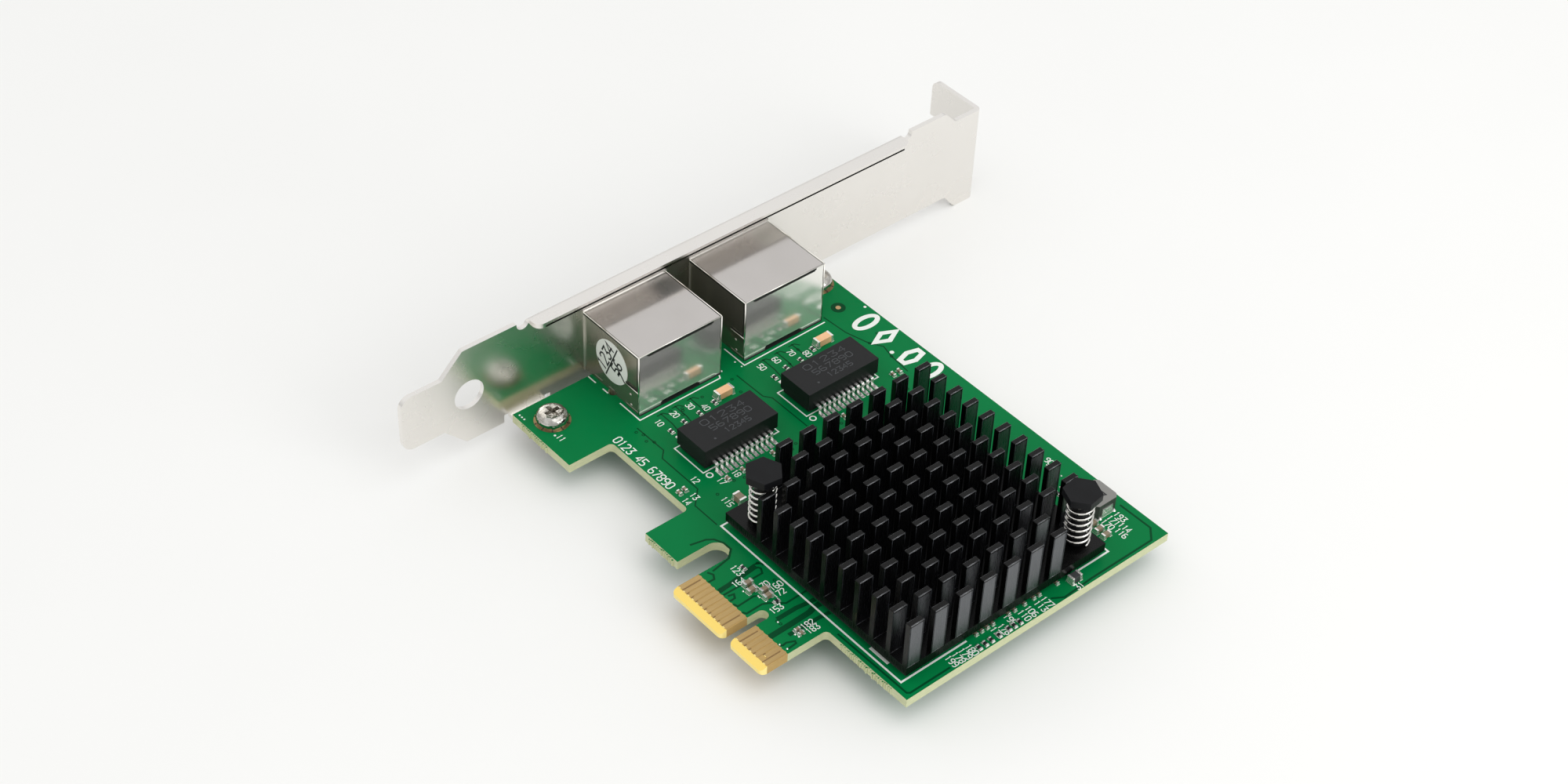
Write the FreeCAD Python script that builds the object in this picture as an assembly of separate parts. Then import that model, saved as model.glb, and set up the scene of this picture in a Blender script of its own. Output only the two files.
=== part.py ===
import FreeCAD, Part
import math
import os

from FreeCAD import Vector

# Network interface card: a small expansion board with a card-edge connector, two network sockets,
# their transformers, a controller chip under a finned heatsink, and a folded mounting bracket.
# Millimetres. X runs from the bracket along the board, Y from the card edge towards the
# bracket's screw flange, Z up out of the component side of the board.
# The drawing starts at the board's rear edge (x = 0), its lower edge line (y = 0) and its
# component side (z = 0). Every solid is moved at the end to the card-edge datum.

# How far a cut passes beyond a face, and how deep joined shapes reach into each other
CUT = 1.0
JOIN = 0.1

# Circuit board
BOARD_T = 1.57
BOARD_LEN = 82.0
BOARD_TOP = 53.3
BOARD_RELIEF_R = 0.8
FOOT_DROP = 8.2
REAR_FOOT_LEN = 14.65
LATCH_FOOT_X = 33.4
LATCH_FOOT_LEN = 7.6

# Card edge: two tabs with a key slot between them
TAB_X = 44.9
TAB_A_LEN = 11.1
KEY_W = 1.9
TAB_B_LEN = 7.1
TAB_TIP = 12.4
KEY_DEPTH = 8.0
TAB_CORNER_R = 0.7
BEVEL_LEN = 1.1
BEVEL_DEPTH = 0.45
SLOT_END = 0.4
FINGER_PITCH = 1.0
FINGER_W = 0.74
FINGER_T = 0.04
FINGER_EDGE = 0.55
FINGER_TOP = 7.3
FINGER_END_GAP = 0.05
SHORT_FINGER_CUT = 1.0
FINGERS_A = 11
FINGERS_B = 7
SHORT_FINGER_FRONT = 17
SHORT_FINGER_BACK = 0

# Bracket sheet
SHEET_T = 0.86
BRACKET_GAP = 1.84
PLATE_LOW = 2.8
PLATE_W = 18.42
PLATE_END = 15.6
TONGUE_END = 27.1
TONGUE_W = 10.4
TONGUE_Z = 6.45
TONGUE_R = 2.0
SHOULDER = 4.0
PLATE_HOLE_R = 2.7
PLATE_HOLE_Y = -14.75
PLATE_HOLE_Z = 6.5
LIP_START = -3.2
LIP_SHORT = 18.85
LIP_DEPTH = 3.2
LIP_CORNER_R = 1.4
NOTCH_W = 2.3
NOTCH_DEPTH = 1.4
BEND_R = 0.1
FLANGE_Y = 93.15
FLANGE_DEPTH = 11.43
FLANGE_LOW = 5.75
FLANGE_STEP = 2.5
FLANGE_R = 1.5
STEP_IN = 8.65
STEP_R = 1.0
FOOT_IN = 7.15
FOOT_R = 1.3
SCREW_SLOT_W = 4.42
SCREW_SLOT_DEPTH = 7.3
EAR_W = 6.7
EAR_LEN = 10.7
EAR_RELIEF_W = 1.1
EAR_RELIEF_H = 1.5
EAR_HOLE_GAP = 0.05

# Bracket screws
SCREW_X = 4.8
SCREW_A_Y = -4.06
SCREW_B_Y = 50.35
SCREW_R = 1.45
SCREW_HEAD_R = 2.6
SCREW_HEAD_H = 1.9
SCREW_CROWN_R = 1.15
SCREW_TIP = 1.6
SCREW_CLEARANCE = 0.15
RECESS_W = 0.75
RECESS_LEN = 2.6
RECESS_DEPTH = 1.1

# Network sockets
JACK_W = 16.0
JACK_H = 11.82
JACK_BACK = 12.35
JACK_PROUD = 0.4
JACK_A_Y = 7.27
JACK_PITCH = 21.3
SHIELD_T = 0.25
RIM_W = 0.35
WINDOW_GAP = 0.12
FACE_FRAME = 1.1
FACE_SILL = 0.9
BACK_SLIT_W = 12.6
BACK_SLIT_H = 0.4
BACK_NOTCH_W = 7.3
BACK_NOTCH_H = 0.7
SIDE_TAB_LEN = 3.3
SIDE_TAB_H = 4.6
SIDE_TAB_T = 0.12
DIMPLE_R = 0.28
DIMPLES = [(2.2, 2.9), (2.0, 0.9)]
PEG_TAB_X = 5.4
PEG_TAB_W = 1.5
PEG_TAB_DROP = 2.9
HOUSING_GAP = 0.05
PLUG_W = 11.9
PLUG_H = 6.8
PLUG_DEPTH = 11.6
PLUG_TOP = 10.2
LATCH_W = 6.4
LATCH_H = 2.2
LIGHT_W = 2.2
LIGHT_H = 1.7
LIGHT_DEPTH = 3.0
LIGHT_Z = 1.35
LIGHT_GAP = 0.1
PEG_R = 1.6
PEG_X = 3.2
PEG_SPREAD = 11.4
PEG_DROP = 1.5
HOLE_GAP = 0.1
CONTACTS = 8
CONTACT_PITCH = 1.02
CONTACT_W = 0.36
CONTACT_T = 0.28
CONTACT_TOP = 10.75
CONTACT_FRONT_X = 1.2
CONTACT_TIP_X = 6.6
CONTACT_TIP_Z = 6.4
CONTACT_ROW_X = 10.1
CONTACT_ROW_STEP = 1.27
CONTACT_DROP = 2.9
CONTACT_GAP = 0.05

# Transformers
CASE_X = 21.85
CASE_W = 6.8
CASE_LEN = 14.5
CASE_TOP = 4.15
CASE_FLOOR = 0.35
CASE_WAIST = 1.2
CASE_UNDERCUT = 0.35
CASE_A_Y = 7.05
CASE_PITCH = 20.9
LEADS = 12
LEAD_PITCH = 1.0
LEAD_W = 0.5
LEAD_T = 0.2
LEAD_Z = 1.45
LEAD_REACH = 1.65
LEAD_FOOT = 0.85
LEAD_TUCK = 0.3

# Controller chip, heatsink and its push pins
SINK_LEN = 39.8
SINK_W = 40.0
SINK_IN = 2.75
SINK_MID_Y = 22.2
SINK_FLOOR = 1.05
SINK_BASE_T = 1.6
SINK_TOP = 11.15
FIN_ROWS = 12
FIN_COLUMNS = 9
FIN_T = 0.9
FIN_LEN = 2.6
FIN_EDGE_R = 0.12
CORNER_ROWS = 2
CORNER_COLUMNS = 2
CHIP_SIZE = 17.0
CHIP_T = 0.9
CHIP_CHAMFER = 0.4
PAD_SIZE = 15.0
PIN_A_GAP = 0.46
PIN_B_GAP = 1.61
PIN_A_IN_Y = 3.25
PIN_B_IN_Y = 3.0
PIN_R = 1.4
PIN_HEAD_FLATS = 5.25
PIN_HEAD_LOW = 11.35
PIN_HEAD_T = 1.3
PIN_HOLE_GAP = 0.2
PIN_BARB_R = 2.0
PIN_BARB_H = 1.7
PIN_TIP_R = 0.8
PIN_SPLIT_W = 0.6
PIN_SPLIT_TOP = 0.3
PIN_TURN_A = 22.0
PIN_TURN_B = 38.0
SPRING_WIRE = 0.42
SPRING_R = 1.95
SPRING_TURNS = 7
SPRING_STEPS = 12
SPRING_SIDES = 8

# Power inductor
COIL_IN_X = 11.1
COIL_IN_Y = 4.4
COIL_SIZE = 4.8
COIL_H = 2.6
COIL_CORNER = 0.6
COIL_PAD_W = 2.2
COIL_PAD_T = 0.12
COIL_PAD_H = 1.6
COIL_PAD_FOOT = 1.2

# Chip parts: length, width, height and end-cap length of each size of case
CASE_0402 = (1.0, 0.5, 0.5, 0.24)
CASE_0603 = (1.6, 0.8, 0.8, 0.36)
CASE_0805 = (2.0, 1.25, 1.2, 0.4)
CASE_1206 = (3.2, 1.45, 1.3, 0.4)
CASE_FLAT = (1.0, 0.5, 0.36, 0.24)
END_PROUD = 0.03

# Centres of the chip parts: x, y, case and the axis that each lies along. The lists start at
# the board's corner, the first tab, the inductor's centre and the heatsink's corner.
HIGH_VOLTAGE = [(16.75, 20.6, CASE_1206, "y"), (16.8, 41.3, CASE_1206, "y")]
CERAMIC_ON_BOARD = [
    (29.85, 2.2, CASE_0402, "x"), (29.9, 1.1, CASE_0402, "x"), (32.0, 8.85, CASE_0402, "x"),
    (31.95, 11.9, CASE_0402, "x"), (31.95, 17.95, CASE_0402, "x"), (32.4, 32.15, CASE_0402, "x"),
    (29.75, 44.9, CASE_0402, "x"), (29.8, 46.2, CASE_0402, "x"),
]
CERAMIC_BY_TABS = [
    (6.1, -3.1, CASE_0603, "y"), (7.45, -3.5, CASE_0603, "y"), (8.6, -2.0, CASE_0603, "y"),
    (9.85, -2.4, CASE_0603, "y"), (17.45, -3.35, CASE_0402, "y"), (18.35, -3.35, CASE_0402, "y"),
]
CERAMIC_BY_COIL = [
    (2.8, -3.3, CASE_0603, "y"), (4.25, -3.5, CASE_0603, "y"), (5.7, -3.5, CASE_0603, "y"),
]
CERAMIC_BY_SINK = [(-2.7, 5.0, CASE_0805, "x")]
RESISTORS_ON_BOARD = [
    (18.4, 8.75, CASE_FLAT, "x"), (17.95, 11.7, CASE_FLAT, "x"), (17.9, 14.85, CASE_FLAT, "x"),
    (17.3, 18.3, CASE_FLAT, "x"), (18.6, 29.6, CASE_FLAT, "x"), (18.0, 32.55, CASE_FLAT, "x"),
    (18.0, 35.6, CASE_FLAT, "x"), (17.1, 38.9, CASE_FLAT, "x"),
]
RESISTORS_BY_TABS = [(3.1, -1.45, CASE_FLAT, "x"), (11.3, -2.0, CASE_FLAT, "y")]
RESISTORS_BY_COIL = [(-6.7, -2.7, CASE_FLAT, "x"), (-5.3, -2.7, CASE_FLAT, "x")]
# Two rows of parts along the front edge, as distances in from that edge and places along it
EDGE_ROW_IN = 3.2
EDGE_ROW_OUT = 0.85
EDGE_CAPACITORS_Y = [16.2, 17.3, 18.4, 19.5, 22.7, 23.9, 25.9, 27.8, 28.9, 32.6]
EDGE_RESISTORS_Y = [14.8, 16.0, 17.2, 18.7, 20.7, 21.75, 22.9]
BEAD_IN = 1.9
BEAD_Y = 35.15

# Parts on the solder side
FLASH_X = 30.0
FLASH_Y = 30.0
FLASH_LEN = 4.9
FLASH_W = 3.9
FLASH_H = 1.5
FLASH_LEADS = 4
FLASH_LEAD_PITCH = 1.27
FLASH_LEAD_W = 0.42
FLASH_LEAD_Z = 0.85
FLASH_KNEE = 0.5
FLASH_REACH = 1.05
FLASH_GAP = 0.1
CRYSTAL_X = 42.0
CRYSTAL_Y = 47.5
CRYSTAL_SIZE = (3.2, 2.5, 0.8)
REGULATOR_X = 64.0
REGULATOR_Y = 48.5
REGULATOR_SIZE = (3.0, 3.0, 0.9)
BACK_RING_R = 6.0
BACK_RING_COUNT = 12

# Inspection sticker on the side of the first socket
STICKER_R = 3.95
STICKER_T = 0.08
STICKER_X = 5.3
STICKER_Z = 6.2

key_x = TAB_X + TAB_A_LEN
tab_b_x = key_x + KEY_W
tab_end_x = tab_b_x + TAB_B_LEN
DATUM = Vector(key_x + KEY_W / 2, -TAB_TIP, 0)
board_low = -BOARD_T
bracket_in = -BRACKET_GAP
bracket_out = -BRACKET_GAP - SHEET_T
plate_high = PLATE_W - PLATE_LOW
lip_end = FLANGE_Y - LIP_SHORT
step_start = FLANGE_Y - STEP_IN
foot_start = FLANGE_Y - FOOT_IN
jack_front = bracket_out - JACK_PROUD
jack_starts = [JACK_A_Y, JACK_A_Y + JACK_PITCH]
screw_places = [(SCREW_X, SCREW_A_Y), (SCREW_X, SCREW_B_Y)]
sink_x = BOARD_LEN - SINK_IN - SINK_LEN
sink_y = SINK_MID_Y - SINK_W / 2
sink_mid = (sink_x + SINK_LEN / 2, SINK_MID_Y)
sink_base_top = SINK_FLOOR + SINK_BASE_T
row_pitch = (SINK_LEN - FIN_T) / (FIN_ROWS - 1)
column_pitch = (SINK_W - FIN_LEN) / (FIN_COLUMNS - 1)
corner_len = CORNER_ROWS * row_pitch
spring_out = SPRING_R + SPRING_WIRE / 2
pin_places = [
    (sink_x + corner_len - spring_out - PIN_A_GAP, sink_y + PIN_A_IN_Y, PIN_TURN_A),
    (sink_x + SINK_LEN - corner_len + spring_out + PIN_B_GAP, sink_y + SINK_W - PIN_B_IN_Y, PIN_TURN_B),
]
coil_x = BOARD_LEN - COIL_IN_X
coil_y = BOARD_TOP - COIL_IN_Y


def box(x0, x1, y0, y1, z0, z1):
    return Part.makeBox(x1 - x0, y1 - y0, z1 - z0, Vector(x0, y0, z0))


def prism(points, direction):
    corners = [Vector(*p) for p in points]
    return Part.Face(Part.makePolygon(corners + corners[:1])).extrude(Vector(*direction))


def rod(x, y, radius, z0, z1):
    return Part.makeCylinder(radius, z1 - z0, Vector(x, y, z0))


def union(shapes):
    return shapes[0].multiFuse(shapes[1:]).removeSplitter()


def group(shapes):
    return Part.makeCompound(shapes)


def round_edges(shape, radius, chosen):
    edges = [e for e in shape.Edges if chosen(e)]
    return shape.makeFillet(radius, edges)


def runs_along(edge, axis):
    if not isinstance(edge.Curve, (Part.Line, Part.LineSegment)):
        return False
    way = edge.Vertexes[-1].Point.sub(edge.Vertexes[0].Point)
    return abs(way.dot(axis)) > 0.999 * way.Length


def edge_near(edge, x=None, y=None, z=None, near=0.02):
    middle = edge.CenterOfMass
    wanted = [(middle.x, x), (middle.y, y), (middle.z, z)]
    return all(place is None or abs(value - place) < near for value, place in wanted)


def save(name, shape):
    moved = shape.copy()
    moved.translate(-DATUM)
    moved.exportStep("parts/" + name + ".step")


def finger_centres():
    first = TAB_X + FINGER_EDGE
    second = tab_b_x + FINGER_EDGE
    return ([first + i * FINGER_PITCH for i in range(FINGERS_A)]
            + [second + i * FINGER_PITCH for i in range(FINGERS_B)])


def jack_contact_tails(y0):
    middle = y0 + JACK_W / 2
    for i in range(CONTACTS):
        y = middle + (i - (CONTACTS - 1) / 2) * CONTACT_PITCH
        yield y, CONTACT_ROW_X + (i % 2) * CONTACT_ROW_STEP


def placed(parts, x0, y0):
    return [(x0 + x, y0 + y, case, axis) for x, y, case, axis in parts]


# Board outline from the rear foot round to the top edge, with the latch foot and the two tabs
def circuit_board():
    latch_end_x = LATCH_FOOT_X + LATCH_FOOT_LEN
    slot_r = (TAB_X - latch_end_x) / 2
    slot_y = -SLOT_END - slot_r
    outline = [
        (0, -FOOT_DROP), (REAR_FOOT_LEN, -FOOT_DROP), (REAR_FOOT_LEN, 0),
        (LATCH_FOOT_X, 0), (LATCH_FOOT_X, -FOOT_DROP), (latch_end_x, -FOOT_DROP),
        (latch_end_x, slot_y), (TAB_X, slot_y), (TAB_X, -TAB_TIP), (tab_end_x, -TAB_TIP), (tab_end_x, 0),
        (BOARD_LEN, 0), (BOARD_LEN, BOARD_TOP), (0, BOARD_TOP),
    ]
    board = prism([(x, y, board_low) for x, y in outline], (0, 0, BOARD_T))
    key_r = KEY_W / 2
    key_top = -TAB_TIP + KEY_DEPTH - key_r
    board = board.cut(box(key_x, tab_b_x, -TAB_TIP, key_top, board_low, 0))
    board = board.cut(rod(key_x + key_r, key_top, key_r, board_low, 0))
    board = board.cut(rod(latch_end_x + slot_r, slot_y, slot_r, board_low, 0))

    def upright(edge, x, y):
        return runs_along(edge, Vector(0, 0, 1)) and edge_near(edge, x, y)

    board = round_edges(board, BOARD_RELIEF_R, lambda e: upright(e, REAR_FOOT_LEN, 0)
                        or upright(e, tab_end_x, 0) or upright(e, LATCH_FOOT_X, 0))
    tips = [TAB_X, key_x, tab_b_x, tab_end_x]
    board = round_edges(board, TAB_CORNER_R, lambda e: any(upright(e, x, -TAB_TIP) for x in tips))
    bevel_start = -TAB_TIP + BEVEL_LEN
    bevel_drop = BEVEL_DEPTH * (1 + CUT / BEVEL_LEN)
    for z, side in ((0, -1), (board_low, 1)):
        corners = [(-TAB_TIP - CUT, z + side * bevel_drop), (bevel_start, z),
                   (bevel_start, z - side * CUT), (-TAB_TIP - CUT, z - side * CUT)]
        bevel = prism([(TAB_X - CUT, y, level) for y, level in corners],
                      (tab_end_x - TAB_X + 2 * CUT, 0, 0))
        board = board.cut(bevel)
    holes = [rod(x, y, SCREW_R + SCREW_CLEARANCE, board_low, 0) for x, y in screw_places]
    holes += [rod(x, y, PIN_R + PIN_HOLE_GAP, board_low, 0) for x, y, turn in pin_places]
    for y0 in jack_starts:
        middle = y0 + JACK_W / 2
        for side in (-1, 1):
            holes.append(rod(PEG_X, middle + side * PEG_SPREAD / 2, PEG_R + HOLE_GAP, board_low, 0))
            tab_y = middle + side * (JACK_W - SHIELD_T) / 2
            holes.append(rod(PEG_TAB_X, tab_y, PEG_TAB_W / 2 + HOLE_GAP, board_low, 0))
        for y, x in jack_contact_tails(y0):
            holes.append(rod(x, y, CONTACT_W / 2 + 2 * HOLE_GAP, board_low, 0))
    return board.cut(group(holes))


# Gold-plated contacts on one side of the tabs, round at their upper ends; one is cut short
def edge_contacts(z, short_index):
    fingers = []
    for i, x in enumerate(finger_centres()):
        end = -TAB_TIP + BEVEL_LEN + FINGER_END_GAP
        if i == short_index:
            end += SHORT_FINGER_CUT
        low, high = (z, z + FINGER_T) if z == 0 else (z - FINGER_T, z)
        radius = FINGER_W / 2
        strip = box(x - radius, x + radius, end, -FINGER_TOP - radius, low, high)
        fingers.append(union([strip, rod(x, -FINGER_TOP - radius, radius, low, high)]))
    return group(fingers)


def through_plate(radius, y, z, end):
    start = Vector(bracket_out - CUT, y, z)
    return Part.makeCylinder(radius, end - start.x, start, Vector(1, 0, 0))


# One sheet folded three ways: the stiffening lip, the screw flange and the two board ears
def io_bracket():
    tongue_low = TONGUE_Z - TONGUE_W / 2
    tongue_high = TONGUE_Z + TONGUE_W / 2
    outline = [
        (-TONGUE_END, tongue_low), (-PLATE_END - SHOULDER, tongue_low), (-PLATE_END, -PLATE_LOW),
        (foot_start, -PLATE_LOW), (foot_start + FLANGE_STEP, -FLANGE_LOW),
        (FLANGE_Y, -FLANGE_LOW), (FLANGE_Y, plate_high - FLANGE_STEP),
        (step_start + FLANGE_STEP, plate_high - FLANGE_STEP), (step_start, plate_high),
        (-PLATE_END, plate_high), (-PLATE_END - SHOULDER, tongue_high), (-TONGUE_END, tongue_high),
    ]
    plate = prism([(bracket_out, y, z) for y, z in outline], (SHEET_T, 0, 0))

    def across(edge, y, z):
        return runs_along(edge, Vector(1, 0, 0)) and edge_near(edge, None, y, z)

    plate = round_edges(plate, TONGUE_R, lambda e: across(e, -TONGUE_END, tongue_low)
                        or across(e, -TONGUE_END, tongue_high))
    plate = round_edges(plate, STEP_R, lambda e: across(e, step_start, plate_high)
                        or across(e, step_start + FLANGE_STEP, plate_high - FLANGE_STEP))
    plate = round_edges(plate, FOOT_R, lambda e: across(e, foot_start, -PLATE_LOW)
                        or across(e, foot_start + FLANGE_STEP, -FLANGE_LOW))
    pieces = [plate]
    pieces.append(box(bracket_out, bracket_out + LIP_DEPTH, LIP_START, lip_end,
                      plate_high - SHEET_T, plate_high))
    pieces.append(box(bracket_in - FLANGE_DEPTH, bracket_in, FLANGE_Y - SHEET_T, FLANGE_Y,
                      -FLANGE_LOW, plate_high - FLANGE_STEP))
    ear_low = board_low - SHEET_T
    for x, y in screw_places:
        pieces.append(box(bracket_out, bracket_out + EAR_LEN, y - EAR_W / 2, y + EAR_W / 2,
                          ear_low, board_low))
    sheet = union(pieces)
    cuts = []
    notch_r = NOTCH_W / 2
    notch_z = plate_high - NOTCH_DEPTH + notch_r
    for y in (LIP_START - NOTCH_W, lip_end):
        cuts.append(box(bracket_out - CUT, bracket_in, y, y + NOTCH_W, notch_z, plate_high + CUT))
        cuts.append(through_plate(notch_r, y + notch_r, notch_z, bracket_in))
    for x, y in screw_places:
        for side in (-1, 1):
            start = y + side * EAR_W / 2 - (EAR_RELIEF_W if side < 0 else 0)
            cuts.append(box(bracket_out - CUT, bracket_in, start, start + EAR_RELIEF_W,
                            -PLATE_LOW - CUT, -PLATE_LOW + EAR_RELIEF_H))
        cuts.append(box(bracket_out - CUT, bracket_in, y - EAR_W / 2, y + EAR_W / 2,
                        -PLATE_LOW - CUT, ear_low))
        cuts.append(rod(x, y, SCREW_R + EAR_HOLE_GAP, ear_low, board_low))
    for y0 in jack_starts:
        cuts.append(box(bracket_out - CUT, bracket_in + CUT, y0 - WINDOW_GAP,
                        y0 + JACK_W + WINDOW_GAP, -WINDOW_GAP, JACK_H + WINDOW_GAP))
    cuts.append(through_plate(PLATE_HOLE_R, PLATE_HOLE_Y, PLATE_HOLE_Z, bracket_in + CUT))
    slot_z = (plate_high - FLANGE_STEP - FLANGE_LOW) / 2
    slot_r = SCREW_SLOT_W / 2
    far = bracket_in - FLANGE_DEPTH
    slot_x = far + SCREW_SLOT_DEPTH - slot_r
    slot_start = FLANGE_Y - SHEET_T - CUT
    cuts.append(box(far - CUT, slot_x, slot_start, FLANGE_Y + CUT, slot_z - slot_r, slot_z + slot_r))
    cuts.append(Part.makeCylinder(slot_r, SHEET_T + 2 * CUT, Vector(slot_x, slot_start, slot_z),
                                  Vector(0, 1, 0)))
    sheet = sheet.cut(group(cuts)).removeSplitter()
    outer_r = BEND_R + SHEET_T
    along_y = Vector(0, 1, 0)
    sheet = round_edges(sheet, outer_r, lambda e: runs_along(e, along_y) and (
        edge_near(e, bracket_out, (LIP_START + lip_end) / 2, plate_high)
        or edge_near(e, bracket_out, SCREW_A_Y, ear_low)
        or edge_near(e, bracket_out, SCREW_B_Y, ear_low)))
    sheet = round_edges(sheet, outer_r, lambda e: runs_along(e, Vector(0, 0, 1))
                        and edge_near(e, bracket_in, FLANGE_Y))
    sheet = round_edges(sheet, LIP_CORNER_R, lambda e: runs_along(e, Vector(0, 0, 1)) and (
        edge_near(e, bracket_out + LIP_DEPTH, LIP_START)
        or edge_near(e, bracket_out + LIP_DEPTH, lip_end)))
    return round_edges(sheet, FLANGE_R, lambda e: runs_along(e, along_y) and (
        edge_near(e, far, None, -FLANGE_LOW)
        or edge_near(e, far, None, plate_high - FLANGE_STEP)))


# Pan-head screws that clamp the board onto the bracket's ears
def bracket_screws():
    screws = []
    for x, y in screw_places:
        head = rod(x, y, SCREW_HEAD_R, 0, SCREW_HEAD_H)
        head = round_edges(head, SCREW_CROWN_R, lambda e: edge_near(e, None, None, SCREW_HEAD_H))
        shank = rod(x, y, SCREW_R, board_low - SHEET_T - SCREW_TIP, JOIN)
        top = SCREW_HEAD_H + CUT
        cross = union([
            box(x - RECESS_LEN / 2, x + RECESS_LEN / 2, y - RECESS_W / 2, y + RECESS_W / 2,
                SCREW_HEAD_H - RECESS_DEPTH, top),
            box(x - RECESS_W / 2, x + RECESS_W / 2, y - RECESS_LEN / 2, y + RECESS_LEN / 2,
                SCREW_HEAD_H - RECESS_DEPTH, top)])
        screws.append(union([head, shank]).cut(cross))
    return group(screws)


# Folded tin shield of a socket, open at the front and below
def jack_shield(y0):
    y1 = y0 + JACK_W
    t = SHIELD_T
    shell = box(jack_front, JACK_BACK, y0, y1, 0, JACK_H)
    middle = y0 + JACK_W / 2
    shell = shell.cut(group([
        box(jack_front + t, JACK_BACK - t, y0 + t, y1 - t, -CUT, JACK_H - t),
        box(jack_front - CUT, jack_front + t, y0 + FACE_FRAME, y1 - FACE_FRAME,
            FACE_SILL, JACK_H - FACE_FRAME),
        box(JACK_BACK - t, JACK_BACK + CUT, middle - BACK_SLIT_W / 2, middle + BACK_SLIT_W / 2,
            JACK_H - t - BACK_SLIT_H, JACK_H - t),
        box(JACK_BACK - t, JACK_BACK + CUT, middle - BACK_NOTCH_W / 2, middle + BACK_NOTCH_W / 2,
            -CUT, BACK_NOTCH_H)]))
    pieces = [shell]
    rim = box(bracket_in, bracket_in + t, y0 - RIM_W, y1 + RIM_W, 0, JACK_H + RIM_W)
    pieces.append(rim.cut(box(bracket_in - CUT, bracket_in + CUT, y0 + t / 2, y1 - t / 2,
                              -CUT, JACK_H - t / 2)))
    for side, wall in ((-1, y0), (1, y1)):
        low, high = (wall - SIDE_TAB_T, wall) if side < 0 else (wall, wall + SIDE_TAB_T)
        pieces.append(box(JACK_BACK - SIDE_TAB_LEN, JACK_BACK, low, high, 0, SIDE_TAB_H))
        for back, z in DIMPLES:
            pieces.append(Part.makeSphere(DIMPLE_R, Vector(JACK_BACK - back, wall, z)).cut(
                box(jack_front, JACK_BACK, y0, y1, 0, JACK_H)))
        tab_low, tab_high = (wall, wall + t) if side < 0 else (wall - t, wall)
        pieces.append(box(PEG_TAB_X - PEG_TAB_W / 2, PEG_TAB_X + PEG_TAB_W / 2, tab_low, tab_high,
                          -PEG_TAB_DROP, t))
    return union(pieces)


def jack_cavity(y0):
    middle = y0 + JACK_W / 2
    front = jack_front - CUT
    back = jack_front + PLUG_DEPTH
    plug_low = PLUG_TOP - PLUG_H
    plug = box(front, back, middle - PLUG_W / 2, middle + PLUG_W / 2, plug_low, PLUG_TOP)
    latch = box(front, back, middle - LATCH_W / 2, middle + LATCH_W / 2,
                plug_low - LATCH_H, plug_low)
    return plug.fuse(latch)


def light_blocks(y0, grow):
    middle = y0 + JACK_W / 2
    front = jack_front + SHIELD_T
    for side in (-1, 1):
        y = middle + side * (LATCH_W + PLUG_W) / 4
        yield box(front - grow, front + LIGHT_DEPTH + grow, y - LIGHT_W / 2 - grow,
                  y + LIGHT_W / 2 + grow, LIGHT_Z - grow, LIGHT_Z + LIGHT_H + grow)


# Moulded insulator with the plug cavity, the contact slots and two locating pegs
def jack_housing(y0):
    gap = SHIELD_T + HOUSING_GAP
    middle = y0 + JACK_W / 2
    body = box(jack_front + gap, JACK_BACK - gap, y0 + gap, y0 + JACK_W - gap,
               HOUSING_GAP, JACK_H - gap)
    pegs = [rod(PEG_X, middle + side * PEG_SPREAD / 2, PEG_R, -PEG_DROP, 2 * HOUSING_GAP)
            for side in (-1, 1)]
    body = union([body] + pegs)
    cuts = [jack_cavity(y0)] + list(light_blocks(y0, LIGHT_GAP))
    slot = CONTACT_W / 2 + CONTACT_GAP
    for y, tail_x in jack_contact_tails(y0):
        half = CONTACT_T / 2 + CONTACT_GAP
        cuts.append(box(CONTACT_FRONT_X - half, tail_x + half, y - slot, y + slot,
                        PLUG_TOP - CUT, CONTACT_TOP + half))
        cuts.append(box(tail_x - half, tail_x + half, y - slot, y + slot, -CUT, CONTACT_TOP))
    return body.cut(group(cuts))


# Spring contacts: a tail in the board, a run along the top and a sloping blade in the cavity
def jack_contacts(y0):
    wires = []
    half = CONTACT_T / 2
    for y, tail_x in jack_contact_tails(y0):
        side = y - CONTACT_W / 2
        slope = math.atan2(CONTACT_TOP - CONTACT_TIP_Z, CONTACT_TIP_X - CONTACT_FRONT_X)
        dx, dz = half * math.sin(slope), half * math.cos(slope)
        tail = box(tail_x - half, tail_x + half, side, side + CONTACT_W, -CONTACT_DROP,
                   CONTACT_TOP + half)
        run = box(CONTACT_FRONT_X, tail_x, side, side + CONTACT_W, CONTACT_TOP - half,
                  CONTACT_TOP + half)
        blade = prism([
            (CONTACT_FRONT_X - dx, side, CONTACT_TOP - dz), (CONTACT_FRONT_X, side, CONTACT_TOP + half),
            (CONTACT_FRONT_X + dx, side, CONTACT_TOP + dz),
            (CONTACT_TIP_X + dx, side, CONTACT_TIP_Z + dz),
            (CONTACT_TIP_X - dx, side, CONTACT_TIP_Z - dz)], (0, CONTACT_W, 0))
        wires.append(union([tail, run, blade]))
    return group(wires)


def link_lights(y0):
    return group(list(light_blocks(y0, 0)))


# Moulded case of a transformer, undercut below its waist
def transformer_case(y0):
    x0, x1 = CASE_X, CASE_X + CASE_W
    y1 = y0 + CASE_LEN
    u = CASE_UNDERCUT
    upper = box(x0, x1, y0, y1, CASE_WAIST, CASE_TOP)
    lower = box(x0 + u, x1 - u, y0 + u, y1 - u, CASE_FLOOR, CASE_WAIST)
    tunnels = list(transformer_lead_shapes(y0))
    return union([upper, lower]).cut(group(tunnels))


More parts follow.
